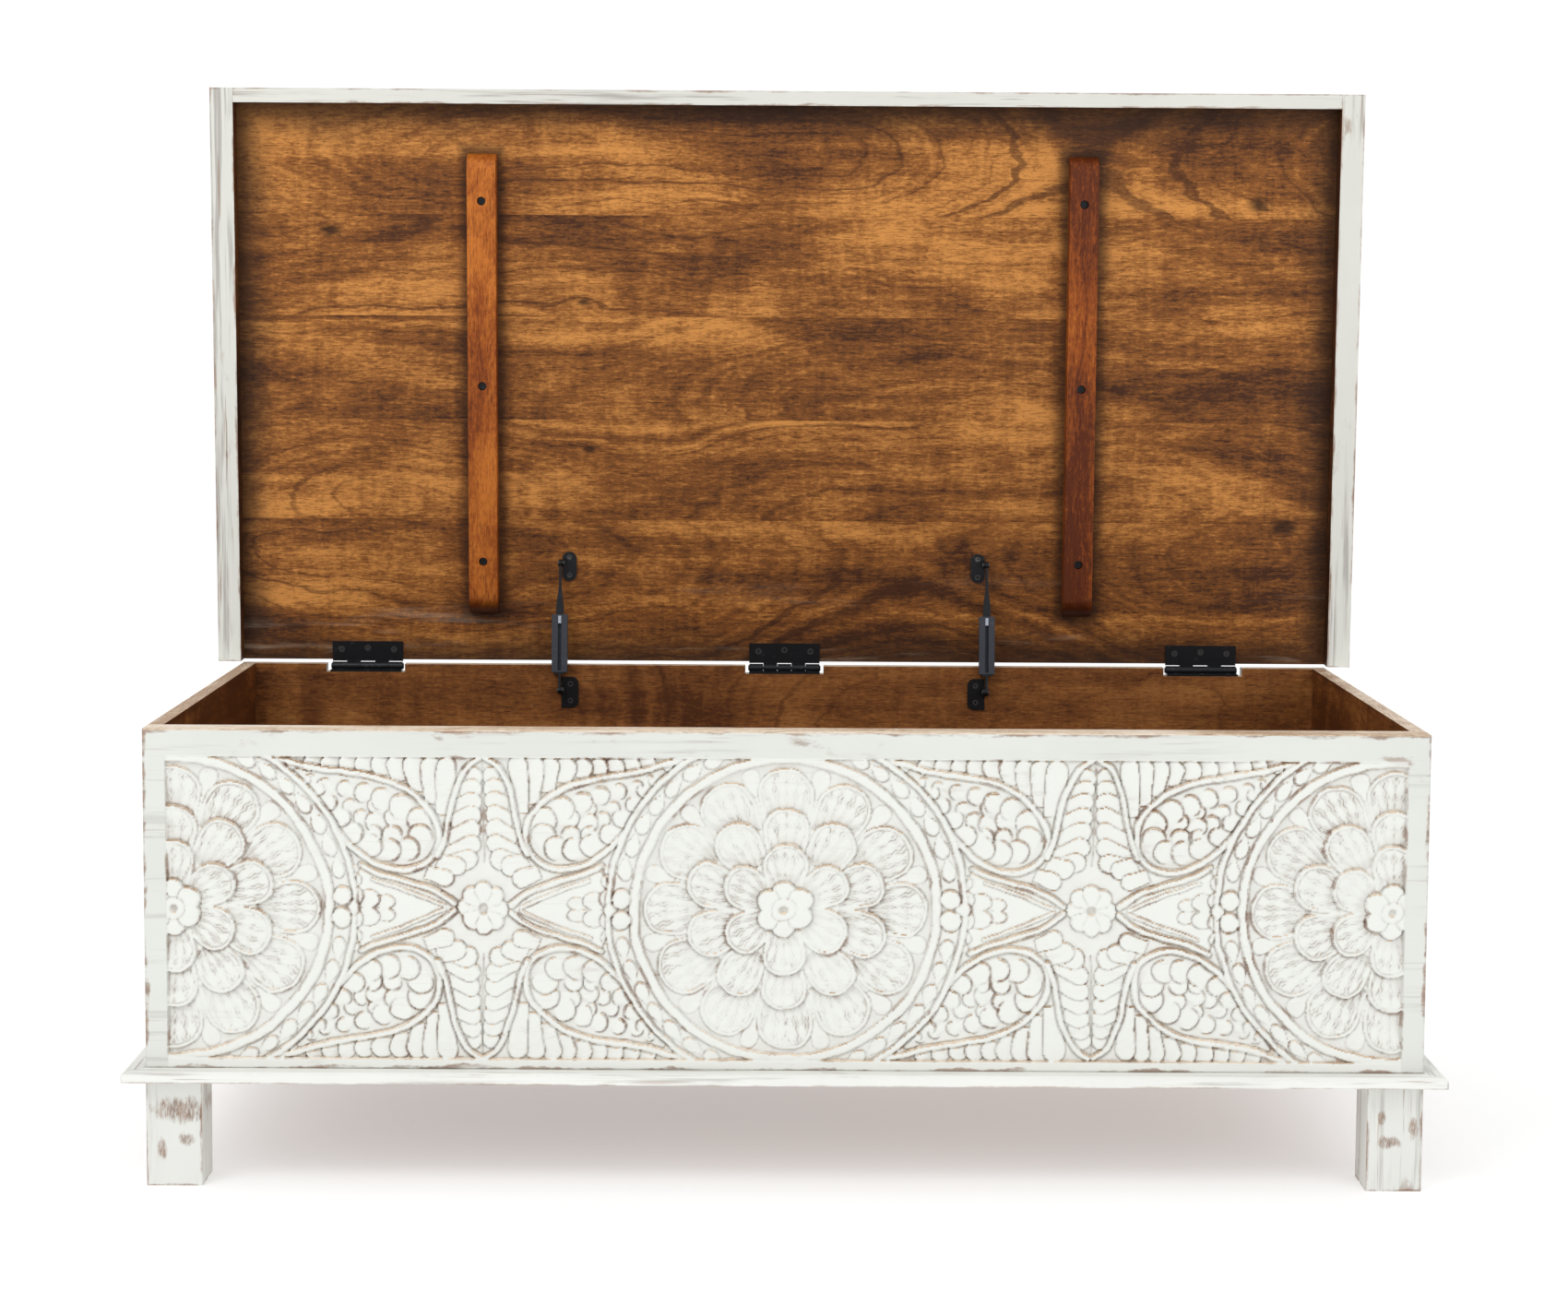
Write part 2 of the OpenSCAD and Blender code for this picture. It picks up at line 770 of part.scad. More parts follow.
// The flat bar that hangs from the lid pivot, and the shank below it that carries the shoe
module stay_arm(side) {
    shoulder = stay_len - 24;
    color(BLACK_METAL)
        along_stay(side)
            difference() {
                union() {
                    translate([0, 0, stay_len]) x_rod(eye_r, -link_t / 2, link_t / 2);
                    span([-link_t / 2, -bar_d / 2, shoulder - 1], [link_t / 2, bar_d / 2, stay_len]);
                    translate([0, shank_d / 2, 0])
                        rotate([90, 0, 0])
                            linear_extrude(height = shank_d)
                                polygon([
                                    [-link_t / 2, shoulder], [link_t / 2, shoulder],
                                    [shank_w / 2, shoulder - 22], [shank_w / 2, shoe_z1],
                                    [-shank_w / 2, shoe_z1], [-shank_w / 2, shoulder - 22]
                                ]);
                    span([-tenon / 2, -tenon / 2, shoe_z0], [tenon / 2, tenon / 2, shoe_z1 + 1]);
                }
                translate([0, 0, stay_len]) x_rod(rivet_r + pin_clearance, -link_t, link_t);
            }
}

// The arm's half of the lid pivot: it ends flush with the arm, clear of the lid's bracket
module stay_arm_rivet(side) {
    color(BLACK_METAL)
        along_stay(side)
            translate([0, 0, stay_len]) {
                x_rod(rivet_r, -link_t / 2, link_t / 2);
                x_rod(rivet_head_r, -link_t / 2 - rivet_head_t, -link_t / 2);
            }
}

// An oval plate under the lid, and its ear down to the pivot
module stay_lid_bracket(side) {
    plate_y = hinge_y - lid_pivot_u - lid_plate_lead;
    ear_half = eye_r - 0.7;
    color(BLACK_METAL)
        on_open_lid()
            difference() {
                at_stay(side) {
                    translate([ear_x + lid_plate[0] / 2, 0, lid_z - plate_t])
                        linear_extrude(height = plate_t)
                            union() {
                                for (k = [0, 1])
                                    translate([0, plate_y + lid_plate[0] / 2 + k * (lid_plate[1] - lid_plate[0])])
                                        circle(r = lid_plate[0] / 2);
                                translate([-lid_plate[0] / 2, plate_y + lid_plate[0] / 2])
                                    square([lid_plate[0], lid_plate[1] - lid_plate[0]]);
                            }
                    difference() {
                        union() {
                            translate([0, hinge_y - lid_pivot_u, lid_z - lid_pivot_h])
                                x_rod(ear_half, ear_x, ear_x + ear_t);
                            span([ear_x, hinge_y - lid_pivot_u - ear_half, lid_z - lid_pivot_h],
                                [ear_x + ear_t, hinge_y - lid_pivot_u + ear_half, lid_z - plate_t / 2]);
                        }
                        translate([0, hinge_y - lid_pivot_u, lid_z - lid_pivot_h])
                            x_rod(rivet_r + pin_clearance, ear_x - 1, ear_x + ear_t + 1);
                    }
                }
                stay_lid_screws_at() screw_hole(stay_screw);
            }
}

// The bracket's half of the lid pivot
module stay_lid_rivet(side) {
    color(BLACK_METAL)
        on_open_lid()
            at_stay(side)
                translate([0, hinge_y - lid_pivot_u, lid_z - lid_pivot_h]) {
                    x_rod(rivet_r, ear_x, ear_x + ear_t);
                    x_rod(rivet_head_r, ear_x + ear_t, ear_x + ear_t + rivet_head_t);
                }
}

module stay_base_screws() {
    color(BLACK_METAL) base_screws_at() screw(stay_screw);
}

module stay_lid_screws() {
    color(BLACK_METAL) on_open_lid() stay_lid_screws_at() screw(stay_screw);
}

// ---------- nodes ----------

front_panel();
back_panel();
side_panel(-1);  // left_side_panel
side_panel(1);  // right_side_panel
bottom_board();
plinth(0);  // plinth_front
plinth(90);  // plinth_right
plinth(180);  // plinth_back
plinth(270);  // plinth_left
leg(-1, -1);  // leg_front_left
leg(1, -1);  // leg_front_right
leg(-1, 1);  // leg_back_left
leg(1, 1);  // leg_back_right
leg_screws();
carcass_dowels();
lid_rail_front();
lid_rail_side(-1);  // lid_rail_left
lid_rail_side(1);  // lid_rail_right
lid_batten(-1);  // lid_batten_left
lid_batten(1);  // lid_batten_right
batten_screws();
rail_dowels();
hinge_body_screws();
hinge_lid_screws();
stay_base_screws();
stay_lid_screws();

for (i = [0:board_count - 1])
    lid_board(i);

for (i = [0:2]) {
    name = str("hinge_", ["left", "middle", "right"][i]);
    hinge_body_leaf(i);
    hinge_lid_leaf(i);
    hinge_pin(i);
}

for (side = [-1, 1]) {
    name = side < 0 ? "stay_left" : "stay_right";
    stay_base_bracket(side);
    stay_base_rivet(side);
    stay_neck(side);
    stay_housing(side);
    stay_shoe(side);
    stay_arm(side);
    stay_arm_rivet(side);
    stay_lid_bracket(side);
    stay_lid_rivet(side);
}
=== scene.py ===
import json
import math

import bmesh
import bpy
import numpy as np
from mathutils import Matrix, Vector


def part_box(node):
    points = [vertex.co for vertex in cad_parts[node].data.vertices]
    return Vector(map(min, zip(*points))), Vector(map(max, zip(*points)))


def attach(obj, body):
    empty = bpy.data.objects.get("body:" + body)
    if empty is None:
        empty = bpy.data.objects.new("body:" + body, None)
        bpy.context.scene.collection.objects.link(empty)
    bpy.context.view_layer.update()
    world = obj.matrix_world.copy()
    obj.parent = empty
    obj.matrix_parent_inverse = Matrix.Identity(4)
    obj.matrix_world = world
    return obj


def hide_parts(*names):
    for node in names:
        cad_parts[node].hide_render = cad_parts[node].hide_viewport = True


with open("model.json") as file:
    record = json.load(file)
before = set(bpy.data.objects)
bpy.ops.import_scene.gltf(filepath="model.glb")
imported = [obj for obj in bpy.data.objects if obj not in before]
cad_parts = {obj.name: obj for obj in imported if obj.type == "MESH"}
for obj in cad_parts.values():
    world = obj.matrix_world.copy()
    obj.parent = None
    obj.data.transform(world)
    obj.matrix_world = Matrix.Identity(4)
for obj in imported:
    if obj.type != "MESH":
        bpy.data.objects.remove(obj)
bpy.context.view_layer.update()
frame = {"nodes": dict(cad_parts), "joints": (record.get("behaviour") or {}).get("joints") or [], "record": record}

NODES = frame["nodes"]
BODIES = frame["record"]["behaviour"]["bodies"]
BODY_OF = {node: body for body, nodes in BODIES.items() for node in nodes}
LID_HINGE = next(joint for joint in frame["joints"] if joint["name"] == "lid_hinge")
HINGE_AT = Vector(LID_HINGE["pos_m"])
OPEN_ANGLE = math.radians(LID_HINGE["range_deg"][1])
TO_CLOSED = (Matrix.Translation(HINGE_AT) @ Matrix.Rotation(OPEN_ANGLE, 4, "X")
             @ Matrix.Translation(-HINGE_AT))
MM = 0.001
dice = np.random.default_rng(7)


# ---------------------------------------------------------------- node graphs
class Shader:
    """One material's node graph, with short calls for the nodes used below."""

    def __init__(self, name):
        self.material = bpy.data.materials.new(name)
        self.material.use_nodes = True
        self.tree = self.material.node_tree
        self.tree.nodes.clear()
        self.skin = self.node("ShaderNodeBsdfPrincipled", {})
        self.node("ShaderNodeOutputMaterial", {"Surface": self.skin.outputs["BSDF"]})

    def node(self, kind, values, **settings):
        made = self.tree.nodes.new(kind)
        for key, value in settings.items():
            setattr(made, key, value)
        for key, value in values.items():
            self.feed(made.inputs[key], value)
        return made

    def feed(self, socket, value):
        if isinstance(value, bpy.types.NodeSocket):
            self.tree.links.new(value, socket)
        else:
            socket.default_value = value

    def attribute(self, name):
        return self.node("ShaderNodeAttribute", {}, attribute_name=name)

    def vector(self, name):
        return self.attribute(name).outputs["Vector"]

    def number(self, name):
        return self.attribute(name).outputs["Fac"]

    def stretch(self, vector, scale, shift):
        made = self.node("ShaderNodeMapping", {"Vector": vector, "Scale": scale, "Location": shift})
        return made.outputs["Vector"]

    def noise(self, vector, scale, detail=3.0, roughness=0.55, distortion=0.0, shift=(0, 0, 0)):
        """Noise from 0 to 1, about 0.5, at scale (x, y, z) per metre."""
        values = {"Vector": self.stretch(vector, scale, shift), "Scale": 1.0, "Detail": detail,
                  "Roughness": roughness, "Distortion": distortion}
        return self.node("ShaderNodeTexNoise", values).outputs["Fac"]

    def noise_along(self, number, detail):
        values = {"W": number, "Scale": 1.0, "Detail": detail}
        return self.node("ShaderNodeTexNoise", values, noise_dimensions="1D").outputs["Fac"]

    def math(self, operation, a, b=0.0, c=0.0, clamp=False):
        made = self.node("ShaderNodeMath", {0: a, 1: b, 2: c}, operation=operation, use_clamp=clamp)
        return made.outputs[0]

    def times(self, a, b):
        return self.math("MULTIPLY", a, b)

    def plus(self, a, b):
        return self.math("ADD", a, b)

    def minus(self, a, b):
        return self.math("SUBTRACT", a, b)

    def scaled(self, a, gain, offset=0.0):
        return self.math("MULTIPLY_ADD", a, gain, offset)

    def distance(self, a, b):
        """The long side of a right triangle with sides a and b."""
        return self.math("SQRT", self.plus(self.times(a, a), self.times(b, b)))

    def size(self, a):
        return self.math("ABSOLUTE", a)

    def step(self, value, low, high, at_low=0.0, at_high=1.0):
        """A smooth change from at_low to at_high as value goes from low to high."""
        values = {"Value": value, "From Min": low, "From Max": high, "To Min": at_low, "To Max": at_high}
        return self.node("ShaderNodeMapRange", values, interpolation_type="SMOOTHSTEP").outputs["Result"]

    def blend(self, amount, below, above):
        return self.node("ShaderNodeMix", {0: amount, 6: below, 7: above}, data_type="RGBA").outputs[2]

    def colours(self, value, *stops):
        made = self.node("ShaderNodeValToRGB", {"Fac": value})
        ramp = made.color_ramp
        while len(ramp.elements) < len(stops):
            ramp.elements.new(0.5)
        for element, (place, colour) in zip(ramp.elements, stops):
            element.position = place
            element.color = colour
        return made.outputs["Color"]

    def parts(self, vector):
        return self.node("ShaderNodeSeparateXYZ", {"Vector": vector}).outputs

    def relief(self, height, depth, strength):
        made = self.node("ShaderNodeBump", {"Height": height, "Distance": depth, "Strength": strength})
        self.feed(self.skin.inputs["Normal"], made.outputs["Normal"])

    def finish(self, **values):
        for key, value in values.items():
            self.feed(self.skin.inputs[key.replace("_", " ")], value)
        return self.material


def srgb(red, green, blue):
    """A linear colour from 0-255 display values."""
    def linear(value):
        value /= 255
        return value / 12.92 if value <= 0.04045 else ((value + 0.055) / 1.055) ** 2.4
    return linear(red), linear(green), linear(blue), 1.0


def dimmed(colour, share):
    return tuple(share * channel for channel in colour[:3]) + (1.0,)


# ------------------------------------------------------------------ materials
RINGS_PER_METRE = 120.0
# how much each part of the grain tells in the colour, and what brings their sum into the colour ramp
GRAIN_GAINS = {"ring": 0.36, "streak": 0.66, "fibre": 0.56, "cloud": 1.15, "curl": 0.22, "fleck": 0.62}
GRAIN_OFFSET = -1.285
TONE_GAIN = 0.08
SHADE_AND_STAIN = srgb(44, 24, 10)     # painted shade, with dark stain, at the recess's rim and beside the battens
HAZE = srgb(190, 170, 150)   # a pale smear of old wax


def wood_grain(s, bulge=0.0):
    """Rings, fibres and pores of a flat-sawn board, from the "grain" coordinates, whose x runs along the
    grain. bulge pushes the rings aside, round a knot."""
    grain = s.vector("grain")
    across = s.parts(grain)[1]
    drift = s.noise(grain, (1.1, 0.3, 0.3), 1.0, shift=(3, 1, 7))
    sway = s.noise(grain, (2.6, 5.0, 5.0), 3.0, shift=(11, 5, 2))
    pith = s.scaled(drift, 0.62, -0.30)
    off_centre = s.plus(s.plus(across, bulge), s.scaled(sway, 0.13, -0.065))
    radius = s.distance(pith, off_centre)
    ripple = s.noise(grain, (22.0, 90.0, 90.0), 3.0, shift=(5, 5, 5))
    turn = s.plus(s.times(radius, RINGS_PER_METRE), s.scaled(ripple, 1.1))
    return {
        "ring": s.noise_along(turn, 4.0),
        "fibre": s.noise(grain, (55.0, 480.0, 480.0), 4.0, 0.65, 0.8),
        "streak": s.noise(grain, (1.8, 34.0, 34.0), 4.0, 0.6, 0.4, shift=(2, 9, 4)),
        "pore": s.step(s.noise(grain, (70.0, 1000.0, 1000.0), 1.0, shift=(8, 8, 8)), 0.60, 0.74),
        "cloud": s.noise(grain, (3.6, 9.0, 9.0), 4.0, 0.6, 0.5, shift=(1, 2, 3)),
        "curl": s.noise(grain, (60.0, 8.0, 8.0), 3.0, 0.55, 1.5, shift=(6, 1, 1)),
        "fleck": s.noise(grain, (150.0, 330.0, 330.0), 3.0, 0.75, 0.6, shift=(4, 7, 7)),
        "area": s.noise(grain, (1.5, 6.0, 6.0), 1.0, shift=(9, 9, 1)),
    }


# where the lid's knots are, as shares of the recess's half size, and their radius in metres
KNOTS = ((-0.83, -0.55, 0.010), (0.86, -0.66, 0.010), (0.92, 0.50, 0.014), (-0.36, 0.23, 0.005),
         (-0.37, -0.30, 0.006))
KNOT_SQUASH = 0.55           # a knot's height as a share of its length


def knot_field(s, well):
    """How dark each knot is, and how far it pushes the rings aside."""
    wide, high = s.parts(s.vector("well"))[:2]
    rough = s.noise(s.vector("well"), (60.0, 140.0, 1.0), 3.0)
    dark, bulge = 0.0, 0.0
    for at_wide, at_high, size in KNOTS:
        dx = s.scaled(wide, KNOT_SQUASH, -KNOT_SQUASH * at_wide * well[0])
        dz = s.minus(high, at_high * well[1])
        gap = s.distance(dx, dz)
        ragged = s.plus(gap, s.scaled(rough, size))
        dark = s.plus(dark, s.step(ragged, 0.7 * size, 1.5 * size, 0.85, 0.0))
        bulge = s.plus(bulge, s.step(gap, 0.0, 4.0 * size, 1.5 * size, 0.0))
    return dark, bulge


def recess_shade_and_stain(s, colour, well, battens):
    """Painted shade with dark stain at the rim of the lid's recess and beside the battens, and a pale smear
    near the hinges. well is half the recess's size, and each batten its middle and half its width and length."""
    wide, high = s.parts(s.vector("well"))[:2]
    near_rim = s.math("MINIMUM", s.minus(well[0], s.size(wide)), s.minus(well[1], s.size(high)))
    blotch = s.noise(s.vector("well"), (9.0, 9.0, 9.0), 4.0)
    # painted shade, with dark stain, where the rails stand over the recess's rim
    rim = s.step(near_rim, 0.0, s.scaled(blotch, 0.085, 0.002), 0.80, 0.0)
    colour = s.blend(rim, colour, SHADE_AND_STAIN)
    # painted shade, with dark stain, beside each batten
    for middle_x, half_width, half_length in battens:
        aside = s.minus(s.size(s.minus(wide, middle_x)), half_width)
        beyond = s.minus(s.size(high), half_length)
        gap = s.math("MAXIMUM", aside, beyond)
        beside = s.step(gap, 0.001, s.scaled(blotch, 0.030, 0.002), 0.75, 0.0)
        colour = s.blend(beside, colour, SHADE_AND_STAIN)
    near_hinges = s.step(high, 0.62 * well[1], 0.95 * well[1])
    smear = s.noise(s.vector("well"), (4.0, 46.0, 1.0), 5.0, 0.65, shift=(7, 3, 0))
    smear = s.times(s.step(smear, 0.57, 0.72), near_hinges)
    return s.blend(s.times(smear, 0.35), colour, HAZE)


def stained_wood(name, dark, middle, light, roughness=0.55, well=None, battens=(), painted_shade_end=False):
    """Stained and varnished hardwood. well and battens are for the lid's boards, as recess_shade_and_stain has
    them.
    With painted_shade_end a board's end near the hinges is painted dark, as painted shade where the end turns from
    the light."""
    s = Shader(name)
    knots, bulge = knot_field(s, well) if well else (0.0, 0.0)
    wood = wood_grain(s, bulge)
    value = s.scaled(s.number("tone"), TONE_GAIN, GRAIN_OFFSET)
    for part, gain in GRAIN_GAINS.items():
        value = s.plus(value, s.scaled(wood[part], gain))
    colour = s.colours(value, (0.24, dark), (0.50, middle), (0.76, light))
    ringed = s.times(s.step(wood["ring"], 0.43, 0.33), s.step(wood["area"], 0.46, 0.62, 0.10, 0.52))
    colour = s.blend(ringed, colour, dark)
    deep = dimmed(dark, 0.35)
    colour = s.blend(s.times(wood["pore"], 0.55), colour, deep)
    if well:
        colour = recess_shade_and_stain(s, s.blend(knots, colour, deep), well, battens)
    # painted shade: the batten's rounded end near the hinges turns away from the light
    if painted_shade_end:
        along = s.parts(s.vector("board"))[1]
        from_end = s.minus(s.parts(s.vector("half"))[1], along)
        colour = s.blend(s.step(from_end, 0.002, 0.026, 0.92, 0.0), colour, deep)
    rough = s.plus(s.scaled(wood["fibre"], 0.16, roughness - 0.08), s.scaled(wood["pore"], 0.15))
    s.relief(s.minus(s.scaled(wood["fibre"], 0.5), wood["pore"]), 0.0003, 0.5)
    return s.finish(Base_Color=colour, Roughness=rough, Specular_IOR_Level=0.22)


# painted light: a lighter white for the carved field, which offsets the shade cast in its cuts
PAINTED_LIGHT_WHITE = srgb(237, 238, 233)
BRUSH_GREY = srgb(150, 144, 138)
HOLLOW_SHADE = srgb(184, 180, 174)
# painted shade where the carved relief dips below its surroundings
DIRT_AND_SHADE = srgb(146, 132, 118)
# dirt in the gouges, and painted shade with dirt in the small pits of the cuts


def edge_distance(s):
    """How far a point of a board's face is from that face's nearest edge, in metres."""
    place = s.parts(s.vector("board"))
    half = s.parts(s.vector("half"))
    gaps = [s.minus(half[i], s.size(place[i])) for i in range(3)]
    low = s.math("MINIMUM", gaps[0], gaps[1])
    high = s.math("MAXIMUM", gaps[0], gaps[1])
    return s.math("MAXIMUM", low, s.math("MINIMUM", high, gaps[2]))


def leg_patches(s, grain, spots):
    """Bare patches on a leg's front and back: for each, its middle, and half its width and height."""
    weave = s.noise(grain, (160.0, 900.0, 900.0), 3.0, 0.7, shift=(6, 3, 2))
    ragged = s.noise(grain, (50.0, 110.0, 110.0), 4.0, 0.7, shift=(2, 3, 2))
    wide, _, high = s.parts(s.vector("board"))
    bare = 0.0
    for at_wide, at_high, half_width, half_height in spots:
        dx = s.scaled(wide, 1 / half_width, -at_wide / half_width)
        dz = s.scaled(high, 1 / half_height, -at_high / half_height)
        gap = s.plus(s.distance(dx, dz), s.scaled(ragged, 2.4, -1.2))
        spot = s.step(gap, 0.6, 1.4, 1.0, 0.0)
        bare = s.plus(bare, s.times(spot, s.step(weave, 0.36, 0.60, 0.5, 1.5)))
    return bare


def carved_paint(s, grain, paint, worn):
    """Painted shade and dirt in the carving's cuts, painted light over the field, and wood showing on walls and
    crests.
    """
    wall, crest, pit, flat = (s.number(name) for name in ("wall", "crest", "pit", "flat"))
    area = s.noise(grain, (16.0, 16.0, 16.0), 4.0, 0.6, shift=(5, 1, 9))
    fine = s.noise(grain, (150.0, 150.0, 150.0), 4.0, 0.7, shift=(3, 1, 4))
    bald = s.noise(grain, (26.0, 26.0, 26.0), 3.0, 0.6, shift=(8, 2, 2))
    rubbed_walls = s.step(s.plus(area, s.scaled(fine, 0.45)), 0.74, 0.94, 0.0, 0.6)
    bald_cuts = s.step(s.plus(bald, s.scaled(fine, 0.3)), 0.71, 0.80, 0.0, 0.9)
    gouged = s.math("MAXIMUM", wall, s.scaled(pit, 0.9))
    rubbed = s.plus(s.times(wall, rubbed_walls), s.times(gouged, bald_cuts))

    # painted shade: the paint greys where the relief dips below its surroundings
    paint = s.blend(s.times(s.number("shade_in_hollows"), 0.70), paint, HOLLOW_SHADE)
    # painted light: the carved field is lighter than the border, offsetting the shade in its cuts
    paint = s.blend(flat, s.blend(0.75, paint, PAINTED_LIGHT_WHITE), paint)
    # painted shade with dirt in the small pits of the cuts, and dirt in the gouges
    dirt_and_shade = s.times(pit, s.step(s.plus(area, s.scaled(fine, 0.6)), 0.66, 0.98, 0.08, 0.52))
    shown = s.step(s.plus(area, s.scaled(fine, 0.8)), 0.82, 1.00, 0.08, 1.0)
    scratch = s.times(s.number("scratch"), shown)
    dirt_and_shade = s.math("MULTIPLY_ADD", scratch, 0.75, dirt_and_shade, clamp=True)
    paint = s.blend(dirt_and_shade, paint, DIRT_AND_SHADE)

    worn = s.plus(s.times(worn, flat), s.math("MULTIPLY", rubbed, 0.78, clamp=True))
    worn = s.plus(worn, s.times(crest, s.step(fine, 0.60, 0.75, 0.0, 0.30)))
    return paint, worn


def whitewash(name, white, rub=1.0, streaks=1.0, spots=(), carved=False):
    """White paint over brown wood, rubbed through at the edges, with grain showing as fine streaks.
    spots are the bare patches of a leg, as leg_patches has them."""
    s = Shader(name)
    grain = s.vector("grain")
    wood = s.noise(grain, (6.0, 240.0, 240.0), 4.0)
    brown = s.colours(wood, (0.30, srgb(118, 92, 76)), (0.55, srgb(156, 126, 106)),
                      (0.75, srgb(180, 158, 142)))
    cloud = s.noise(grain, (7.0, 12.0, 12.0), 4.0, 0.6)
    patch = s.noise(grain, (13.0, 40.0, 40.0), 5.0, 0.65, shift=(4, 4, 4))
    brush = s.noise(grain, (5.0, 210.0, 210.0), 4.0, 0.6, shift=(9, 2, 5))
    smoky = s.noise(grain, (3.0, 30.0, 30.0), 4.0, 0.6, shift=(2, 6, 1))
    paint = s.blend(s.step(cloud, 0.35, 0.7, 0.0, 0.6), white, dimmed(white, 0.93))
    grey = s.times(s.step(brush, 0.47, 0.62), s.step(smoky, 0.47, 0.58))
    smear = s.times(grey, 0.55 * streaks)
    if carved:
        smear = s.times(smear, s.number("flat"))
    paint = s.blend(smear, paint, BRUSH_GREY)

    crack = s.noise(grain, (9.0, 330.0, 330.0), 2.0, 0.5, 0.3, shift=(1, 7, 3))
    cracks = s.times(s.step(crack, 0.61, 0.69), s.step(smoky, 0.45, 0.55))
    bare = s.times(s.step(patch, 0.57, 0.65), s.step(cloud, 0.52, 0.60))
    if spots:
        bare = s.plus(bare, leg_patches(s, grain, spots))
    worn = s.plus(s.times(cracks, 0.55 * streaks), s.times(bare, 0.60))
    if carved:
        paint, worn = carved_paint(s, grain, paint, worn)
    reach = s.noise(grain, (22.0, 22.0, 22.0), 4.0, 0.65, shift=(1, 1, 6))
    reach = s.scaled(reach, 0.016 * rub, -0.0062 * rub)
    rim = s.times(s.step(s.minus(reach, edge_distance(s)), -0.0012, 0.0010), s.step(patch, 0.40, 0.56))
    worn = s.math("ADD", worn, s.times(rim, 0.85), clamp=True)

    height = s.plus(s.minus(s.scaled(brush, 0.35), s.scaled(worn, 0.5)), s.scaled(patch, 0.25))
    s.relief(height, 0.0005, 0.5)
    return s.finish(Base_Color=s.blend(worn, paint, brown), Roughness=s.scaled(worn, -0.12, 0.62))


def dark_metal(name, colour, worn, roughness):
    """Black-coated steel with fine scratches and rubbed spots."""
    s = Shader(name)
    place = s.node("ShaderNodeTexCoord", {}).outputs["Object"]
    grain = s.noise(place, (900, 900, 900), 3.0)
    scuff = s.step(s.noise(place, (120, 700, 120), 4.0, 0.65), 0.60, 0.74)
    tint = s.blend(s.times(scuff, 0.5), colour, worn)
    s.relief(s.plus(grain, s.scaled(scuff, 0.4)), 0.0001, 0.5)
    return s.finish(Base_Color=tint, Roughness=s.scaled(grain, 0.25, roughness - 0.12), Metallic=0.55)


def plastic(name, colour):
    """Pale moulded nylon, a little mottled."""
    s = Shader(name)
    place = s.node("ShaderNodeTexCoord", {}).outputs["Object"]
    mottle = s.noise(place, (260, 260, 260), 3.0)
    tint = s.blend(s.step(mottle, 0.35, 0.7), colour, dimmed(colour, 0.8))
    s.relief(mottle, 0.0001, 0.4)
    return s.finish(Base_Color=tint, Roughness=s.scaled(mottle, 0.2, 0.35))


# ---------------------------------------------------------------------- pieces
GRAIN_AXES = {"x": (0, 1, 2), "y": (1, 0, 2), "z": (2, 0, 1)}


def add_vectors(mesh, name, values):
    layer = mesh.attributes.new(name, "FLOAT_VECTOR", "POINT")
    layer.data.foreach_set("vector", np.ascontiguousarray(values, np.float32).ravel())


def add_numbers(mesh, name, values):
    layer = mesh.attributes.new(name, "FLOAT", "POINT")
    layer.data.foreach_set("value", np.ascontiguousarray(values, np.float32))


def vertices_of(mesh):
    places = np.zeros(len(mesh.vertices) * 3, np.float32)
    mesh.vertices.foreach_get("co", places)
    return places.reshape(-1, 3)


def mark_board(mesh, body, grain_axis, tone=None):
    """Stores where each vertex is in its board, lying flat in the closed chest, and along the grain."""
    places = vertices_of(mesh)
    if body == "lid":
        turn = np.array(TO_CLOSED)
        places = places @ turn[:3, :3].T + turn[:3, 3]
    low, high = places.min(0), places.max(0)
    local = places - (low + high) / 2
    shift = dice.uniform((-9, -0.05, -20), (9, 0.05, 20))
    add_vectors(mesh, "board", local)
    add_vectors(mesh, "half", np.tile((high - low) / 2, (len(places), 1)))
    add_vectors(mesh, "grain", local[:, GRAIN_AXES[grain_axis]] + shift)
    add_numbers(mesh, "tone", np.full(len(places), dice.uniform(-1, 1) if tone is None else tone))


def eased(node, ease):
    """A new object with the CAD node's shape and its sharp edges rounded, which replaces the node."""
    shape = bmesh.new()
    shape.from_mesh(NODES[node].data)
    bmesh.ops.remove_doubles(shape, verts=shape.verts, dist=1e-6)
    bmesh.ops.dissolve_limit(shape, angle_limit=math.radians(2), verts=shape.verts, edges=shape.edges)
    sharp = [edge for edge in shape.edges
             if edge.is_manifold and edge.calc_face_angle() > math.radians(32)]
    bmesh.ops.bevel(shape, geom=sharp, offset=ease, segments=2, profile=0.5,
                    affect="EDGES", clamp_overlap=True)
    mesh = bpy.data.meshes.new(node + "_looks")
    shape.to_mesh(mesh)
    shape.free()
    mesh.materials.clear()
    return place_piece(mesh, node)


def place_piece(mesh, node, angle=32, flat_faces=True):
    """Links a mesh as the piece that stands for a CAD node."""
    piece = bpy.data.objects.new(mesh.name, mesh)
    bpy.context.scene.collection.objects.link(piece)
    mesh.shade_smooth()
    mesh.set_sharp_from_angle(angle=math.radians(angle))
    if flat_faces:
        piece.modifiers.new("flat_faces", "WEIGHTED_NORMAL").keep_sharp = True
    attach(piece, BODY_OF[node])
    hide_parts(node)
    return piece


def paint_faces(mesh, materials, choose):
    """Gives each face the material that choose(centre, normal) names."""
    names = list(materials)
    for name in names:
        mesh.materials.append(materials[name])
    for face in mesh.polygons:
        face.material_index = names.index(choose(face.center, face.normal))


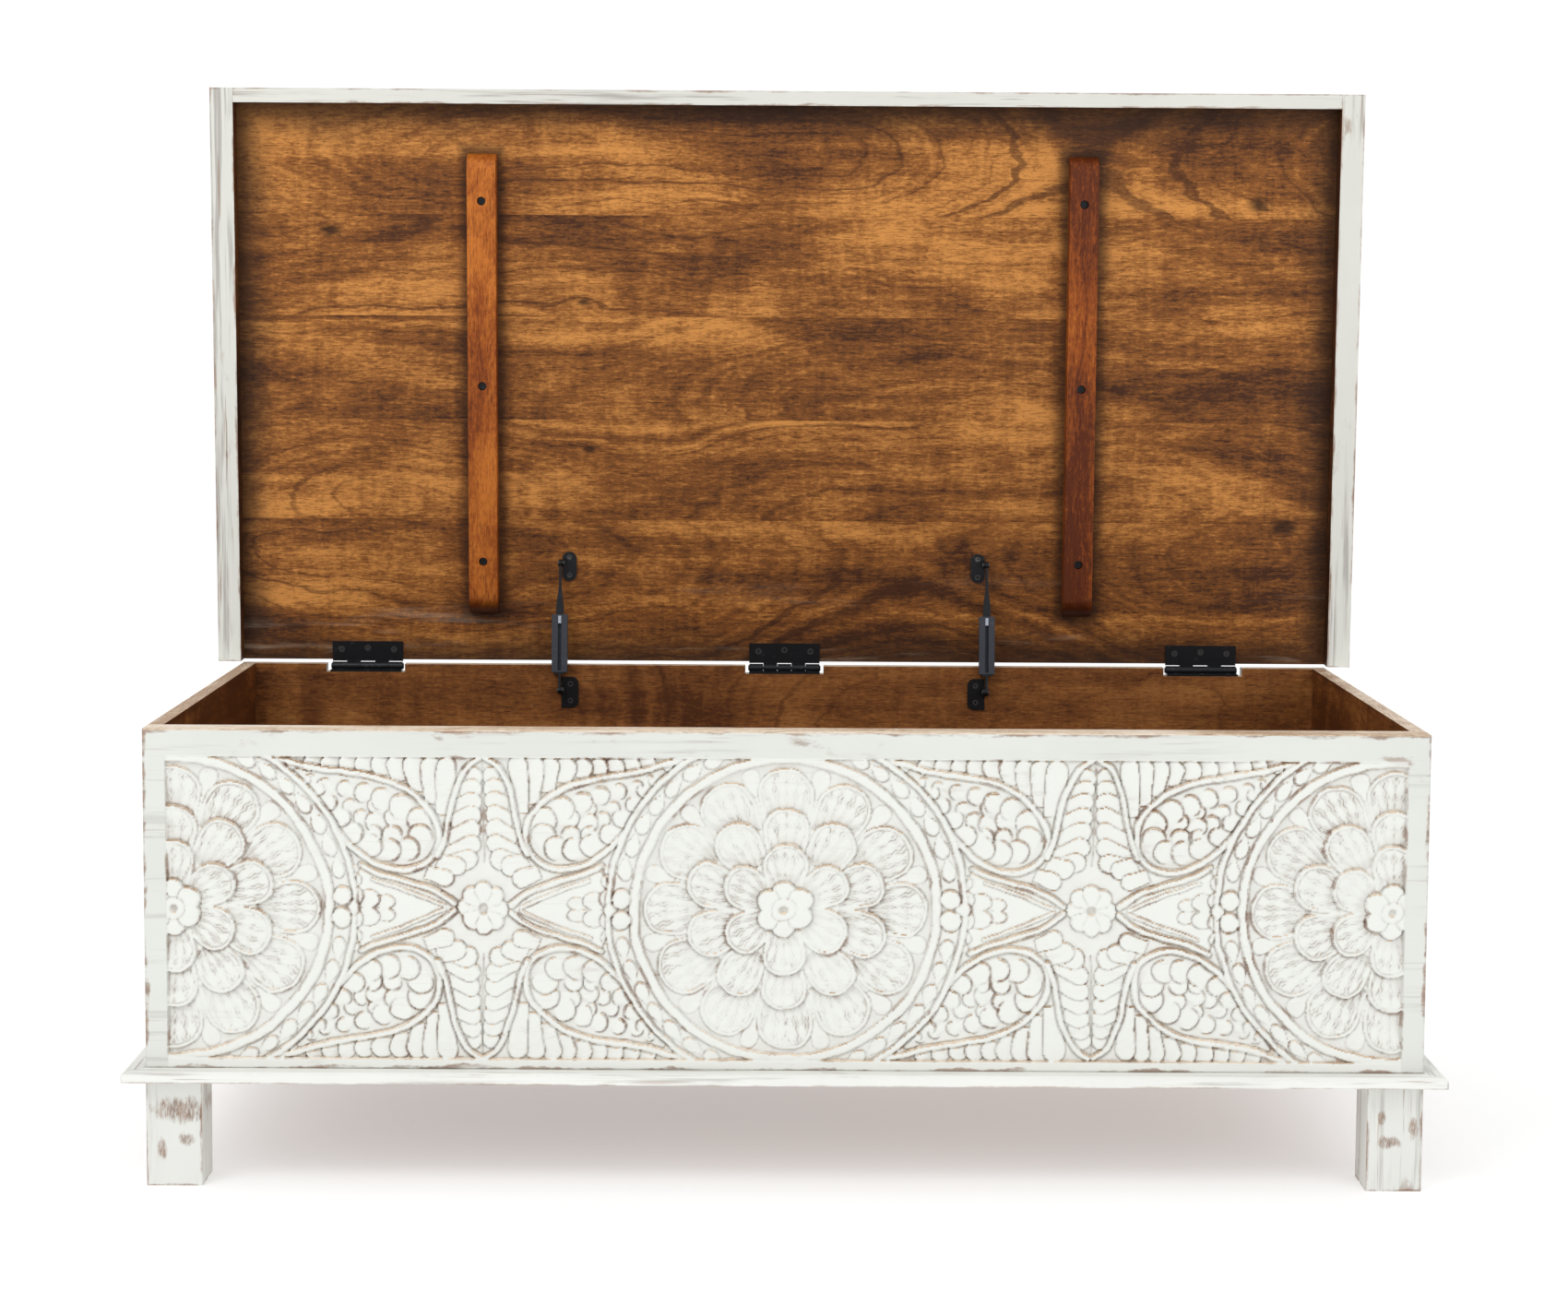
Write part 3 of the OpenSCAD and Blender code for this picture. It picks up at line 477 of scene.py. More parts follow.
# ---------------------------------------------------------------- carved front
CELL = 272.5              # from a medallion's centre to the small flower's, mm
FIELD = (555.0, 137.0)    # half size of the carved field
BORDER_BELOW = 9          # from the panel's lower edge to the field
LAID_OUT_AT = (-824, -549.5, -271.5, -1, 274, 544, 816)  # where the carver set the cells' ends
RELIEF_STEP = 0.5         # between the stored points of a cell
PANEL_STEP = 1.1          # between the vertices of the panel's face
EDGE_RADIUS = 1.4         # of the panel's edges
GROUND = -3.4             # the cut-away ground, below the border
LEAF_TOP = -0.7           # the tips of the leaf work

# scales of the scrolled leaf: the tip, the angle it points at in degrees, and half its width
INNER_SCALES = ((122, 93, 22, 5.5), (113, 84, 30, 6.0), (101, 93, 14, 6.5), (103, 79, 8, 7.0),
                (86, 84, 12, 7.5), (81, 75, 80, 7.5), (90, 71, 150, 6.5))
# and its outer row, from the tail round the bulb
OUTER_SCALES = ((155, 117, 30, 4.4), (143, 113, 28, 5.4), (128, 109.5, 24, 6.2), (112, 105, 16, 7.4),
                (96.5, 102, 24, 8.4), (79, 98, 36, 9.4), (60, 91, 62, 10.4), (54, 77, 97, 9.6),
                (55.5, 57, 166, 9.4), (72, 53.5, 178, 9.4), (89, 56, 190, 9.0), (106, 65, 200, 8.0),
                (119, 78, 208, 7.0), (130, 91, 214, 6.2), (141, 103, 220, 5.2), (151, 113, 224, 4.0))
SCROLL_OUTLINE = ((182, 134), (169, 132.5), (147, 126), (119, 121.7), (92, 116.7), (69, 108), (53, 96),
                  (42, 82), (38.5, 62.5), (44.4, 47.2), (58.3, 37.5), (75, 35.5), (94.4, 41), (111, 52),
                  (125, 66), (136, 82), (148, 99), (164, 117), (178, 131))
UPRIGHT_OUTLINE = ((2, 136), (12.5, 129), (19.4, 118), (26.4, 98.6), (30.5, 79), (34, 62.5), (40, 48))
LEVEL_OUTLINE = ((25, 3), (44.4, 16.5), (69.4, 25), (91.7, 31.5), (106.5, 38.5))
COMB_FOOT = ((20, 96), (34, 86), (55, 98), (75, 112), (95, 119), (125, 124), (160, 127), (195, 131))
COMB_LEAN = ((20, 100), (60, 84), (120, 66), (190, 50))
UPRIGHT_WIDTH = ((40, 38), (50, 33), (62, 29.5), (79, 26), (98, 21), (118, 14.5), (130, 8))


def between(table, at):
    """The value at a place, from a table of places and values."""
    places, values = zip(*table)
    return float(np.interp(at, places, values))


def smooth(value):
    value = np.clip(value, 0, 1)
    return value * value * (3 - 2 * value)


def curve(points):
    """Points along a smooth line through the given ones, ten for each span."""
    knots = np.array(points, float)
    knots = np.vstack([2 * knots[0] - knots[1], knots, 2 * knots[-1] - knots[-2]])
    t = np.linspace(0, 1, 10, endpoint=False)[:, None]
    spans = [
        0.5 * (2 * b + (c - a) * t + (2 * a - 5 * b + 4 * c - d) * t ** 2
               + (3 * b - a - 3 * c + d) * t ** 3)
        for a, b, c, d in zip(knots, knots[1:], knots[2:], knots[3:])
    ]
    return np.vstack(spans + [knots[-2:-1]])


class Carving:
    """Relief of one quarter cell of the pattern. u runs from the small flower to the medallion, v from
    the panel's middle line to the field's edge, both in mm; h is the height under the border."""

    def __init__(self):
        us = np.arange(-6, CELL + 6, RELIEF_STEP)
        vs = np.arange(-6, FIELD[1] + 6, RELIEF_STEP)
        self.low = (us[0], vs[0])
        self.u, self.v = np.meshgrid(us, vs, indexing="ij")
        self.h = np.full(self.u.shape, GROUND)
        self.scratch = np.zeros(self.u.shape)

    def window(self, at, reach):
        start = [max(0, int((at[i] - reach - self.low[i]) / RELIEF_STEP)) for i in (0, 1)]
        stop = [int((at[i] + reach - self.low[i]) / RELIEF_STEP) + 2 for i in (0, 1)]
        return slice(start[0], stop[0]), slice(start[1], max(stop[1], 0))

    def away(self, line):
        """Distance of every point from a polyline."""
        nearest = np.full(self.u.shape, 1e9)
        for (ax, ay), (bx, by) in zip(line[:-1], line[1:]):
            dx, dy = bx - ax, by - ay
            share = np.clip(((self.u - ax) * dx + (self.v - ay) * dy) / (dx * dx + dy * dy), 0, 1)
            gap = (self.u - ax - share * dx) ** 2 + (self.v - ay - share * dy) ** 2
            nearest = np.minimum(nearest, gap)
        return np.sqrt(nearest)

    def groove(self, distance, half, depth):
        self.h -= depth * smooth(1 - distance / half)

    def band(self, distance, half, top, gutter=1.6, depth=1.6):
        """A rounded raised line with a gutter on both sides."""
        crown = top - 0.45 * (distance / half) ** 2
        self.h = np.where(distance < half, crown, self.h)
        self.groove(np.abs(distance - half - gutter / 2), gutter, depth)

    def lobe(self, at, toward, length, half, tip=LEAF_TOP, root=-2.9, cup=0.5, head=None,
             waist=0.6, gutter=1.5, depth=1.1, gouges=0.0, lip=2.2, tilt=0.0, scale=False):
        """Lays a petal over the relief, from its root at a point toward an angle in degrees.
        Gouges fan out from its root, with a line cut inside its lip.
        A scale is cut only round its tip, and its sides run into what is beside it."""
        head = head or half
        turn = math.radians(toward)
        cu, cv = at
        win = self.window((cu + math.cos(turn) * length / 2, cv + math.sin(turn) * length / 2),
                          length / 2 + half + gutter + 1)
        du, dv = self.u[win] - cu, self.v[win] - cv
        if not du.size:
            return
        p = du * math.cos(turn) + dv * math.sin(turn)
        q = dv * math.cos(turn) - du * math.sin(turn)
        neck = length - head
        side = half * (waist + (1 - waist) * smooth(p / max(neck, 1)))
        inside = np.where(p > neck, 1 - np.hypot(q / half, (p - neck) / head), 1 - np.abs(q) / side)
        inside = inside * min(half, head)
        inside = np.where(p < 0, np.minimum(inside, p), inside)
        level = root + (tip - root) * smooth(0.15 + 0.85 * p / length) + tilt * q / half
        level = level - cup * smooth((inside - 0.6) / lip) * smooth((length - p) / head)
        marks = np.zeros(du.shape)
        if gouges:
            fan = np.arctan2(q, p + 0.35 * length) * 44 * half / 20
            comb = (1 - np.abs(np.sin(fan + 0.8 * np.sin(p * 0.7 + toward)))) ** 0.8
            cut = smooth(0.5 + 0.7 * np.sin(fan * 0.61 + toward) + 0.5 * np.sin(p * 0.35 + toward * 2))
            marks = comb * cut * smooth((inside - lip * 0.7) / 1.5)
            level = level - gouges * marks
            lip_line = smooth(1 - np.abs(inside - 3.4) / 1.1) * smooth((p - 0.5 * neck) / 8)
            level = level - 1.1 * lip_line
            marks = np.maximum(marks, 0.75 * lip_line)
        arc = smooth((p - 0.40 * length) / (0.30 * length)) if scale else 1.0
        level = level - 0.9 * (1 - smooth(inside / 1.1)) * arc
        under = self.h[win] - depth * smooth(1 + inside / gutter) * arc
        laid = self.h[win] + (level - self.h[win]) * (arc + (1 - arc) * smooth(inside / 4.5))
        self.h[win] = np.where(inside > 0, laid, under)
        self.scratch[win] = np.where(inside > 0, marks, self.scratch[win])

    def ball(self, at, radius, top, dome, gutter=1.5, depth=1.8):
        distance = np.hypot(self.u - at[0], self.v - at[1])
        crown = top - dome * (distance / radius) ** 2
        self.h = np.where(distance < radius, crown, self.h)
        self.groove(np.abs(distance - radius - gutter / 2), gutter, depth)

    def sample(self, u, v):
        """Height and scratches at any points of the cell, between the stored ones."""
        fu = np.clip((u - self.low[0]) / RELIEF_STEP, 0, self.u.shape[0] - 1.001)
        fv = np.clip((v - self.low[1]) / RELIEF_STEP, 0, self.u.shape[1] - 1.001)
        iu, iv = fu.astype(int), fv.astype(int)
        tu, tv = fu - iu, fv - iv
        for field in (self.h, self.scratch):
            near = field[iu, iv] * (1 - tv) + field[iu, iv + 1] * tv
            far = field[iu + 1, iv] * (1 - tv) + field[iu + 1, iv + 1] * tv
            yield near * (1 - tu) + far * tu


def from_medallion(radius, degrees):
    """A point of the cell given from the medallion's centre, its angle measured toward the flower."""
    turn = math.radians(degrees)
    return CELL - radius * math.cos(turn), radius * math.sin(turn)


def ahead(at, toward, length):
    """The point at that length from another, toward an angle in degrees."""
    turn = math.radians(toward)
    return at[0] + length * math.cos(turn), at[1] + length * math.sin(turn)


def carve_comb(c):
    """Long teeth along the field's edge, the one farthest from the upright leaf first."""
    for u in np.arange(202, 20, -15.2):
        foot = between(COMB_FOOT, u)
        lean = between(COMB_LEAN, u)
        reach = (FIELD[1] + 0.5 - foot) / math.sin(math.radians(lean))
        root_u = u - reach * math.cos(math.radians(lean)) - 4
        c.lobe((root_u, foot), lean, reach, 8.8, head=min(10.0, reach * 0.7), waist=0.8,
               tip=-1.2, root=-2.2, tilt=-1.1, depth=2.2)


def carve_scrolled_leaf(c):
    """Its inner scales, then the outer row, then its outline."""
    jitter = np.random.default_rng(11)
    for u, v, lean, half in INNER_SCALES:
        length = 2.6 * half
        c.lobe(ahead((u, v), lean, -length), lean, length, 1.12 * half, root=-2.4, depth=1.7,
               gutter=2.2, scale=True)
    for u, v, lean, half in OUTER_SCALES:
        tip = (u + jitter.normal(0, 0.6), v + jitter.normal(0, 0.6))
        length = 2.7 * half
        c.lobe(ahead(tip, lean, -length), lean, length, 1.12 * half, root=-2.6, depth=2.0,
               gutter=2.2, scale=True)
    c.band(c.away(curve(SCROLL_OUTLINE)), 2.5, -0.35, 1.7, 1.6)


def carve_upright_leaf(c):
    """The small flower's upright leaf: paired scales, midrib and outline."""
    for row, v in enumerate((125, 113, 100.5, 87, 73, 58.5)):
        width = between(UPRIGHT_WIDTH, v)
        c.lobe((width + 3, v - 8 - row), 156 - row, width + 3.5, 8.6, tip=-0.8, depth=1.6, waist=1.0)
    for u, v, lean, half in ((6.0, 44.5, 172, 9.0), (16.5, 34.0, 202, 8.6), (27.0, 24.0, 200, 7.6)):
        c.lobe(ahead((u, v), lean, -25), lean, 25, half, depth=1.8, waist=0.8)
    c.groove(np.abs(c.u) + 40 * (c.v < 40), 1.6, 1.6)
    c.band(c.away(curve(UPRIGHT_OUTLINE)), 2.2, -0.3, 1.6, 2.0)


def carve_level_leaf(c):
    """The leaf that comes from the medallion and points at the small flower."""
    level = curve(LEVEL_OUTLINE)
    inside_level = (c.v < np.interp(c.u, level[:, 0], level[:, 1])) & (c.u > 25) & (c.u < 121)
    c.h = np.where(inside_level, -1.9, c.h)
    for u, v, half in ((77, 6, 5.6), (90, 8.5, 8.0), (105, 10.5, 9.6), (107, 27, 7.5)):
        lean = 180 - 0.7 * v
        c.lobe(ahead((u, v), lean, -24), lean, 24, half, head=1.3 * half, tip=-0.8, depth=1.8)
    c.band(c.away(curve([(34, 1.5), (52, 9.5), (70, 17), (96, 25.5)])), 1.5, -0.9, 1.0, 1.5)
    c.band(c.away(level), 2.3, -0.35, 1.7, 2.2)
    c.groove(c.away(curve([(106.5, 38.5), (109, 32), (114.5, 20.8), (118, 9), (119, 0)])), 2.0, 2.6)


def carve_medallion(c):
    """Dish, ring, chain of leaves, four tiers of petals and the button."""
    m = CELL - c.u
    r = np.hypot(m, c.v)
    ring_line = 159 + 2.5 * smooth(1 - c.v / 22)
    c.h = np.where(r < ring_line, -2.6, c.h)
    for degrees in np.arange(13, 74, 8.4):
        c.lobe(from_medallion(151.5, degrees + 6), 276 - degrees, 23, 6.0, tip=-0.5, root=-1.8, head=8.5,
               waist=0.15, depth=1.2)
    c.band(np.abs(r - 160), 2.4, -0.35, 1.7, 1.6)
    c.band(np.abs(r - 136.2), 4.0, -0.3, 1.5, 1.3)
    c.h = np.where(r < 132, -4.2 + 0.6 * smooth((r - 125) / 7), c.h)
    tiers = (
        # angles, root and tip from the centre, half width, heights of tip and root, cup, gouges
        (np.arange(15, 91, 30.0), 104, 131, 8.0, -3.4, -4.2, 0.3, 0.0),
        (np.arange(0, 91, 30.0), 74, 128.0, 25.0, -1.7, -4.6, 1.7, 0.9),
        (np.arange(18, 91, 36.0), 46, 92.0, 20.8, -1.1, -4.2, 1.6, 0.9),
        (np.arange(30, 91, 60.0), 20, 60.5, 19.6, -0.5, -3.6, 1.4, 0.8),
    )
    for angles, start, end, half, tip, root, cup, gouges in tiers:
        for degrees in angles:
            c.lobe(from_medallion(start, degrees), 180 - degrees, end - start, half, tip=tip, root=root,
                   cup=cup, gouges=gouges, head=0.92 * half, waist=0.8, gutter=1.6, depth=0.8, lip=5.0)
    for degrees in (90, 30):
        c.lobe(from_medallion(4, degrees), 180 - degrees, 22, 10.6, tip=-0.9, root=-0.9, cup=-0.6,
               head=10.6, waist=0.5, depth=1.8)
    c.h = np.where(r < 10, -0.2 - 0.25 * (np.abs(r - 7) / 3) ** 2, c.h)
    c.groove(np.abs(r - 10.6), 1.2, 1.2)
    c.h = np.where(r < 4.2, -3.0 * smooth((4.4 - r) / 1.6) - 0.3, c.h)


def carve_small_parts(c):
    """The small flower and the three beads where a level leaf leaves the medallion."""
    r = np.hypot(c.u, c.v)
    c.h = np.where(r < 30, np.minimum(c.h, -2.9 + 2.6 * smooth((r - 21) / 9)), c.h)
    for degrees in (0, 45, 90):
        c.lobe(ahead((0, 0), degrees, 4), degrees, 18.6, 8.0, tip=-0.5, root=-0.8, cup=-0.5,
               head=8.0, waist=0.4, depth=1.2)
    c.h = np.where(r < 4.4, -3.2 * smooth((4.6 - r) / 1.4) - 0.6, c.h)
    c.ball((CELL - 158.5, 0), 6.0, -0.4, 0.9)
    c.ball((CELL - 148, 9.4), 8.6, -0.3, 1.0)


def carved_relief():
    """One cell, each part cut over the ones before it."""
    c = Carving()
    carve_comb(c)
    carve_scrolled_leaf(c)
    carve_upright_leaf(c)
    carve_level_leaf(c)
    carve_medallion(c)
    carve_small_parts(c)
    return c


def soft_noise(x, z, wavelength, seed):
    """Smooth random waves over the panel, from about -1 to 1."""
    waves = np.random.default_rng(seed)
    total = np.zeros_like(x)
    for octave in range(3):
        for _ in range(5):
            turn, phase = waves.uniform(0, 2 * math.pi, 2)
            rate = 2 * math.pi / wavelength * 1.9 ** octave * waves.uniform(0.8, 1.25)
            total += np.sin((x * math.cos(turn) + z * math.sin(turn)) * rate + phase) * 0.55 ** octave
    return total / 4.2


def blurred(field, radius):
    """Box blur, twice each way, over a grid."""
    for _ in range(2):
        for axis in (0, 1):
            margins = [(radius + 1, radius) if i == axis else (0, 0) for i in (0, 1)]
            padded = np.pad(field, margins, "edge")
            sums = np.cumsum(padded, axis=axis)
            size = 2 * radius + 1
            upper = np.take(sums, range(size, sums.shape[axis]), axis)
            lower = np.take(sums, range(0, sums.shape[axis] - size), axis)
            field = (upper - lower) / size
    return field


def panel_heights(x, z):
    """Height in mm and scratches over the front face, x and z measured from the carved field's centre."""
    carving = carved_relief()
    wx = x + 1.7 * soft_noise(x, z, 130, 3) + 0.5 * soft_noise(x, z, 26, 4)
    wz = z + 1.5 * soft_noise(x, z, 120, 5) + 0.5 * soft_noise(x, z, 24, 6)
    wx = np.interp(wx, LAID_OUT_AT, CELL * np.arange(-3, 4))
    u = np.abs(CELL - np.mod(np.abs(wx), 2 * CELL))
    height, scratch = carving.sample(u, np.abs(wz))
    height = 0.92 * height * (1 + 0.12 * soft_noise(x, z, 60, 8)) + 0.12 * soft_noise(x, z, 11, 9)
    edge = np.minimum(FIELD[0] - np.abs(x), FIELD[1] - np.abs(z))
    edge = edge + 0.5 * soft_noise(x, z, 70, 12)
    height = np.where(edge > 0, height - 0.7 * smooth(1 - edge / 3.0), 0.0)
    height = np.minimum(height * smooth(edge / 1.1), 0.0) + 0.10 * soft_noise(x, z, 160, 13) - 0.12
    return height, np.where(edge > 2, scratch, 0.0)


def grid_solid(front, back_y):
    """Vertices and faces of a solid whose front is a grid of points and whose back is one flat face."""
    nx, nz = front.shape[:2]
    index = np.arange(nx * nz).reshape(nx, nz)
    grid = np.stack([index[:-1, :-1], index[1:, :-1], index[1:, 1:], index[:-1, 1:]], -1).reshape(-1, 4)
    loop = np.concatenate([index[:, 0], index[-1, 1:], index[-2::-1, -1], index[0, -2:0:-1]])
    points = front.reshape(-1, 3)
    back = points[loop].copy()
    back[:, 1] = back_y
    back_index = np.arange(len(loop)) + nx * nz
    after = np.roll(np.arange(len(loop)), -1)
    sides = np.stack([loop, back_index, back_index[after], loop[after]], -1)
    faces = grid.tolist() + sides.tolist() + [back_index[::-1].tolist()]
    return np.vstack([points, back]), faces


def front_panel_face(centre, normal):
    if normal.y > 0.5:
        return "inside"
    return "rim" if normal.z > 0.7 else "carved"


def carved_front():
    """The front panel as one solid, its face a fine grid that carries the relief."""
    low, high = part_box("front_panel")
    low, high = low / MM, high / MM
    middle_z = low.z + BORDER_BELOW + FIELD[1]
    xs = np.linspace(low.x, high.x, int((high.x - low.x) / PANEL_STEP) + 1)
    zs = np.linspace(low.z, high.z, int((high.z - low.z) / PANEL_STEP) + 1)
    x, z = np.meshgrid(xs, zs, indexing="ij")
    height, scratch = panel_heights(x, z - middle_z)
    slope = np.hypot(*np.gradient(height, PANEL_STEP))
    lift = height - blurred(height, round(2.6 / PANEL_STEP))
    sunk = blurred(height, round(9 / PANEL_STEP)) - height
    in_field = (np.abs(x) < FIELD[0]) & (z - middle_z < FIELD[1])
    from_edge = np.minimum(np.minimum(x - low.x, high.x - x), np.minimum(z - low.z, high.z - z))
    from_arc = np.clip(EDGE_RADIUS - from_edge, 0, EDGE_RADIUS)
    height = height - EDGE_RADIUS + np.sqrt(EDGE_RADIUS ** 2 - from_arc ** 2)

    mesh = bpy.data.meshes.new("front_panel_carved")
    points, faces = grid_solid(np.stack([x, low.y - height, z], -1), high.y)
    mesh.from_pydata((points * MM).tolist(), [], faces)
    # each mark's values over the face, and its value at the back
    marks = {
        "wall": (smooth((slope - 0.55) / 0.7), 0),
        "crest": (smooth((lift - 0.35) / 0.6), 0),
        # where the relief dips below its surroundings, greyed as painted shade
        "shade_in_hollows": (smooth((sunk - 0.1) / 1.6), 0),
        "scratch": (scratch, 0),
        "pit": (smooth((-lift - 0.25) / 0.7), 0),
        "flat": (np.where(in_field, 0.25, 1.0), 1),
    }
    for name, (over_face, behind) in marks.items():
        add_numbers(mesh, name, np.append(over_face.ravel(), np.full(len(points) - x.size, behind)))
    mark_board(mesh, "carcass", "x", 0.0)
    paint_faces(mesh, pick("carved", "rim", "inside"), front_panel_face)
    return place_piece(mesh, "front_panel", 60, flat_faces=False)


# -------------------------------------------------------------------- assemble
LID_BOARDS = [f"lid_board_{number}" for number in range(1, 6)]
RECESS_LOW = min(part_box(node)[0].z for node in LID_BOARDS)
RECESS_HIGH = max(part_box(node)[1].z for node in LID_BOARDS)
RECESS_HALF_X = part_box(LID_BOARDS[0])[1].x
BATTENS = [((low.x + high.x) / 2, (high.x - low.x) / 2, (high.z - low.z) / 2)
           for low, high in (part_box("lid_batten_left"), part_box("lid_batten_right"))]
WHITE = srgb(220, 222, 216)
# bare patches on the legs: across and up from the leg's middle, half width and half height, metres
LEFT_SPOTS = ((0.005, 0.021, 0.019, 0.010), (-0.011, -0.016, 0.004, 0.008),
              (0.012, -0.006, 0.006, 0.005))
RIGHT_SPOTS = ((-0.004, -0.004, 0.010, 0.005), (0.017, 0.010, 0.004, 0.010),
               (-0.012, 0.018, 0.003, 0.006))
LEG_WHITE = srgb(224, 225, 220)
WOODS = {
    "whitewash": whitewash("whitewashed_wood", WHITE, rub=0.9, streaks=0.5),
    "carved": whitewash("carved_whitewash", WHITE, streaks=0.45, carved=True),
    # painted light: the plinth's white is lighter than the rest, offsetting the weaker light it gets near the
    # floor
    "plinth": whitewash("plinth_whitewash_painted_light", srgb(236, 237, 232), rub=0.28, streaks=0.8),
    "rail": whitewash("whitewashed_rail", srgb(223, 223, 215), rub=0.55, streaks=1.2),
    "left_leg": whitewash("whitewashed_left_leg", LEG_WHITE, rub=0.45, streaks=0.9, spots=LEFT_SPOTS),
    "right_leg": whitewash("whitewashed_right_leg", LEG_WHITE, rub=0.6, streaks=0.9, spots=RIGHT_SPOTS),
    "lid": stained_wood("lid_boards_wood", srgb(72, 38, 16), srgb(142, 86, 36), srgb(212, 144, 72),
                        well=(RECESS_HALF_X, (RECESS_HIGH - RECESS_LOW) / 2), battens=BATTENS),
    "batten": stained_wood("batten_wood", srgb(92, 38, 8), srgb(150, 74, 18), srgb(198, 114, 40),
                           roughness=0.48, painted_shade_end=True),
    "inside": stained_wood("inside_wood", srgb(84, 44, 16), srgb(132, 80, 36), srgb(168, 112, 58)),
    "recess": stained_wood("recess_side_wood", srgb(52, 28, 12), srgb(84, 48, 22), srgb(120, 74, 36)),
    "rim": stained_wood("rim_wood", srgb(180, 150, 122), srgb(226, 207, 184), srgb(242, 232, 218)),
    "dowel": stained_wood("dowel_wood", srgb(150, 116, 74), srgb(188, 152, 104), srgb(212, 180, 132)),
}
FITTINGS = {
    "black": dark_metal("black_metal", (0.014, 0.015, 0.018, 1), (0.09, 0.095, 0.11, 1), 0.34),
    "screw": dark_metal("screw_steel", (0.07, 0.07, 0.07, 1), (0.30, 0.29, 0.28, 1), 0.32),
    "satin": dark_metal("satin_metal", (0.050, 0.055, 0.068, 1), (0.17, 0.19, 0.22, 1), 0.36),
    "nylon": plastic("nylon", srgb(192, 200, 216)),
}
FITTING_OF = {"shoe": "nylon", "screws": "screw", "housing": "satin", "rivet": "screw"}


def wood_piece(node, ease, grain_axis, materials, choose, tone=None):
    """A board with its CAD node's shape. Without a tone, it is a little lighter or darker at random."""
    piece = eased(node, ease)
    mark_board(piece.data, BODY_OF[node], grain_axis, tone)
    paint_faces(piece.data, materials, choose)
    return piece


def outside_of(sign_x, sign_y):
    """Chooser for a chest panel whose outer face looks along (sign_x, sign_y)."""
    def choose(centre, normal):
        if normal.z > 0.7:
            return "rim"
        return "whitewash" if normal.x * sign_x + normal.y * sign_y > -0.5 else "inside"
    return choose


def all_one(name):
    """Chooser for a piece with one material."""
    return lambda centre, normal: name


def lid_board_face(centre, normal):
    """White on a lid board's upper face and rear edge, which face the back when the lid stands open."""
    at_rear_edge = normal.z < -0.9 and centre.z < RECESS_LOW + MM
    return "whitewash" if normal.y > 0.3 or at_rear_edge else "lid"


def rail_face(inward):
    """Chooser for a lid rail, white but for the side that faces the recess."""
    inward = Vector(inward)
    return lambda centre, normal: "recess" if normal.dot(inward) > 0.8 else "rail"


def pick(*names):
    return {name: WOODS[name] for name in names}


def build_chest():
    carved_front()
    for node, axis, signs, tone in (("back_panel", "x", (0, 1), 0.5),
                                    ("left_side_panel", "y", (-1, 0), -2.5),
                                    ("right_side_panel", "y", (1, 0), -2.2)):
        wood_piece(node, 1.0 * MM, axis, pick("whitewash", "rim", "inside"), outside_of(*signs), tone)
    wood_piece("bottom_board", 0.8 * MM, "x", pick("inside"), all_one("inside"))
    for side, axis in (("front", "x"), ("back", "x"), ("left", "y"), ("right", "y")):
        wood_piece("plinth_" + side, 1.2 * MM, axis, pick("plinth"), all_one("plinth"))
    for end in ("front", "back"):
        for side in ("left", "right"):
            paint = side + "_leg"
            wood_piece(f"leg_{end}_{side}", 2.0 * MM, "z", pick(paint), all_one(paint))


def build_lid():
    for node, tone in zip(LID_BOARDS, (0.0, 0.3, -0.3, 0.2, 0.45)):
        piece = wood_piece(node, 0.35 * MM, "x", pick("lid", "whitewash"), lid_board_face, tone)
        places = vertices_of(piece.data)
        places[:, 2] = (RECESS_LOW + RECESS_HIGH) / 2 - places[:, 2]
        add_vectors(piece.data, "well", places[:, (0, 2, 1)])
    for node, axis, inward in (("lid_rail_front", "x", (0, 0, -1)), ("lid_rail_left", "y", (1, 0, 0)),
                               ("lid_rail_right", "y", (-1, 0, 0))):
        wood_piece(node, 1.2 * MM, axis, pick("rail", "recess"), rail_face(inward), -1.5)
    for side, tone in (("left", 0.4), ("right", -1.6)):
        wood_piece("lid_batten_" + side, 2.2 * MM, "y", pick("batten"), all_one("batten"), tone)


def build_ironmongery():
    """Hinges and stays with eased edges. The screws and dowels keep their shape and get a material."""
    for node in sorted(NODES):
        if node.startswith(("hinge_", "stay_")):
            kind = FITTING_OF.get(node.split("_")[-1], "black")
            piece = eased(node, 0.3 * MM)
            piece.data.materials.append(FITTINGS[kind])
    for node, material in (("leg_screws", FITTINGS["screw"]), ("batten_screws", FITTINGS["black"]),
                           ("carcass_dowels", WOODS["dowel"]), ("rail_dowels", WOODS["dowel"])):
        for slot in NODES[node].material_slots:
            slot.material = material


# ------------------------------------------------------------- stage and lights
FLOOR_HALF_WIDTH = 16.0
FLOOR_NEAR = -60.0       # far in front, so that a low view from behind sees no end to it
FLOOR_FAR = 6.0          # where it starts to curve up
FLOOR_CURVE = 3.0        # radius of that curve
FLOOR_TOP = 12.0


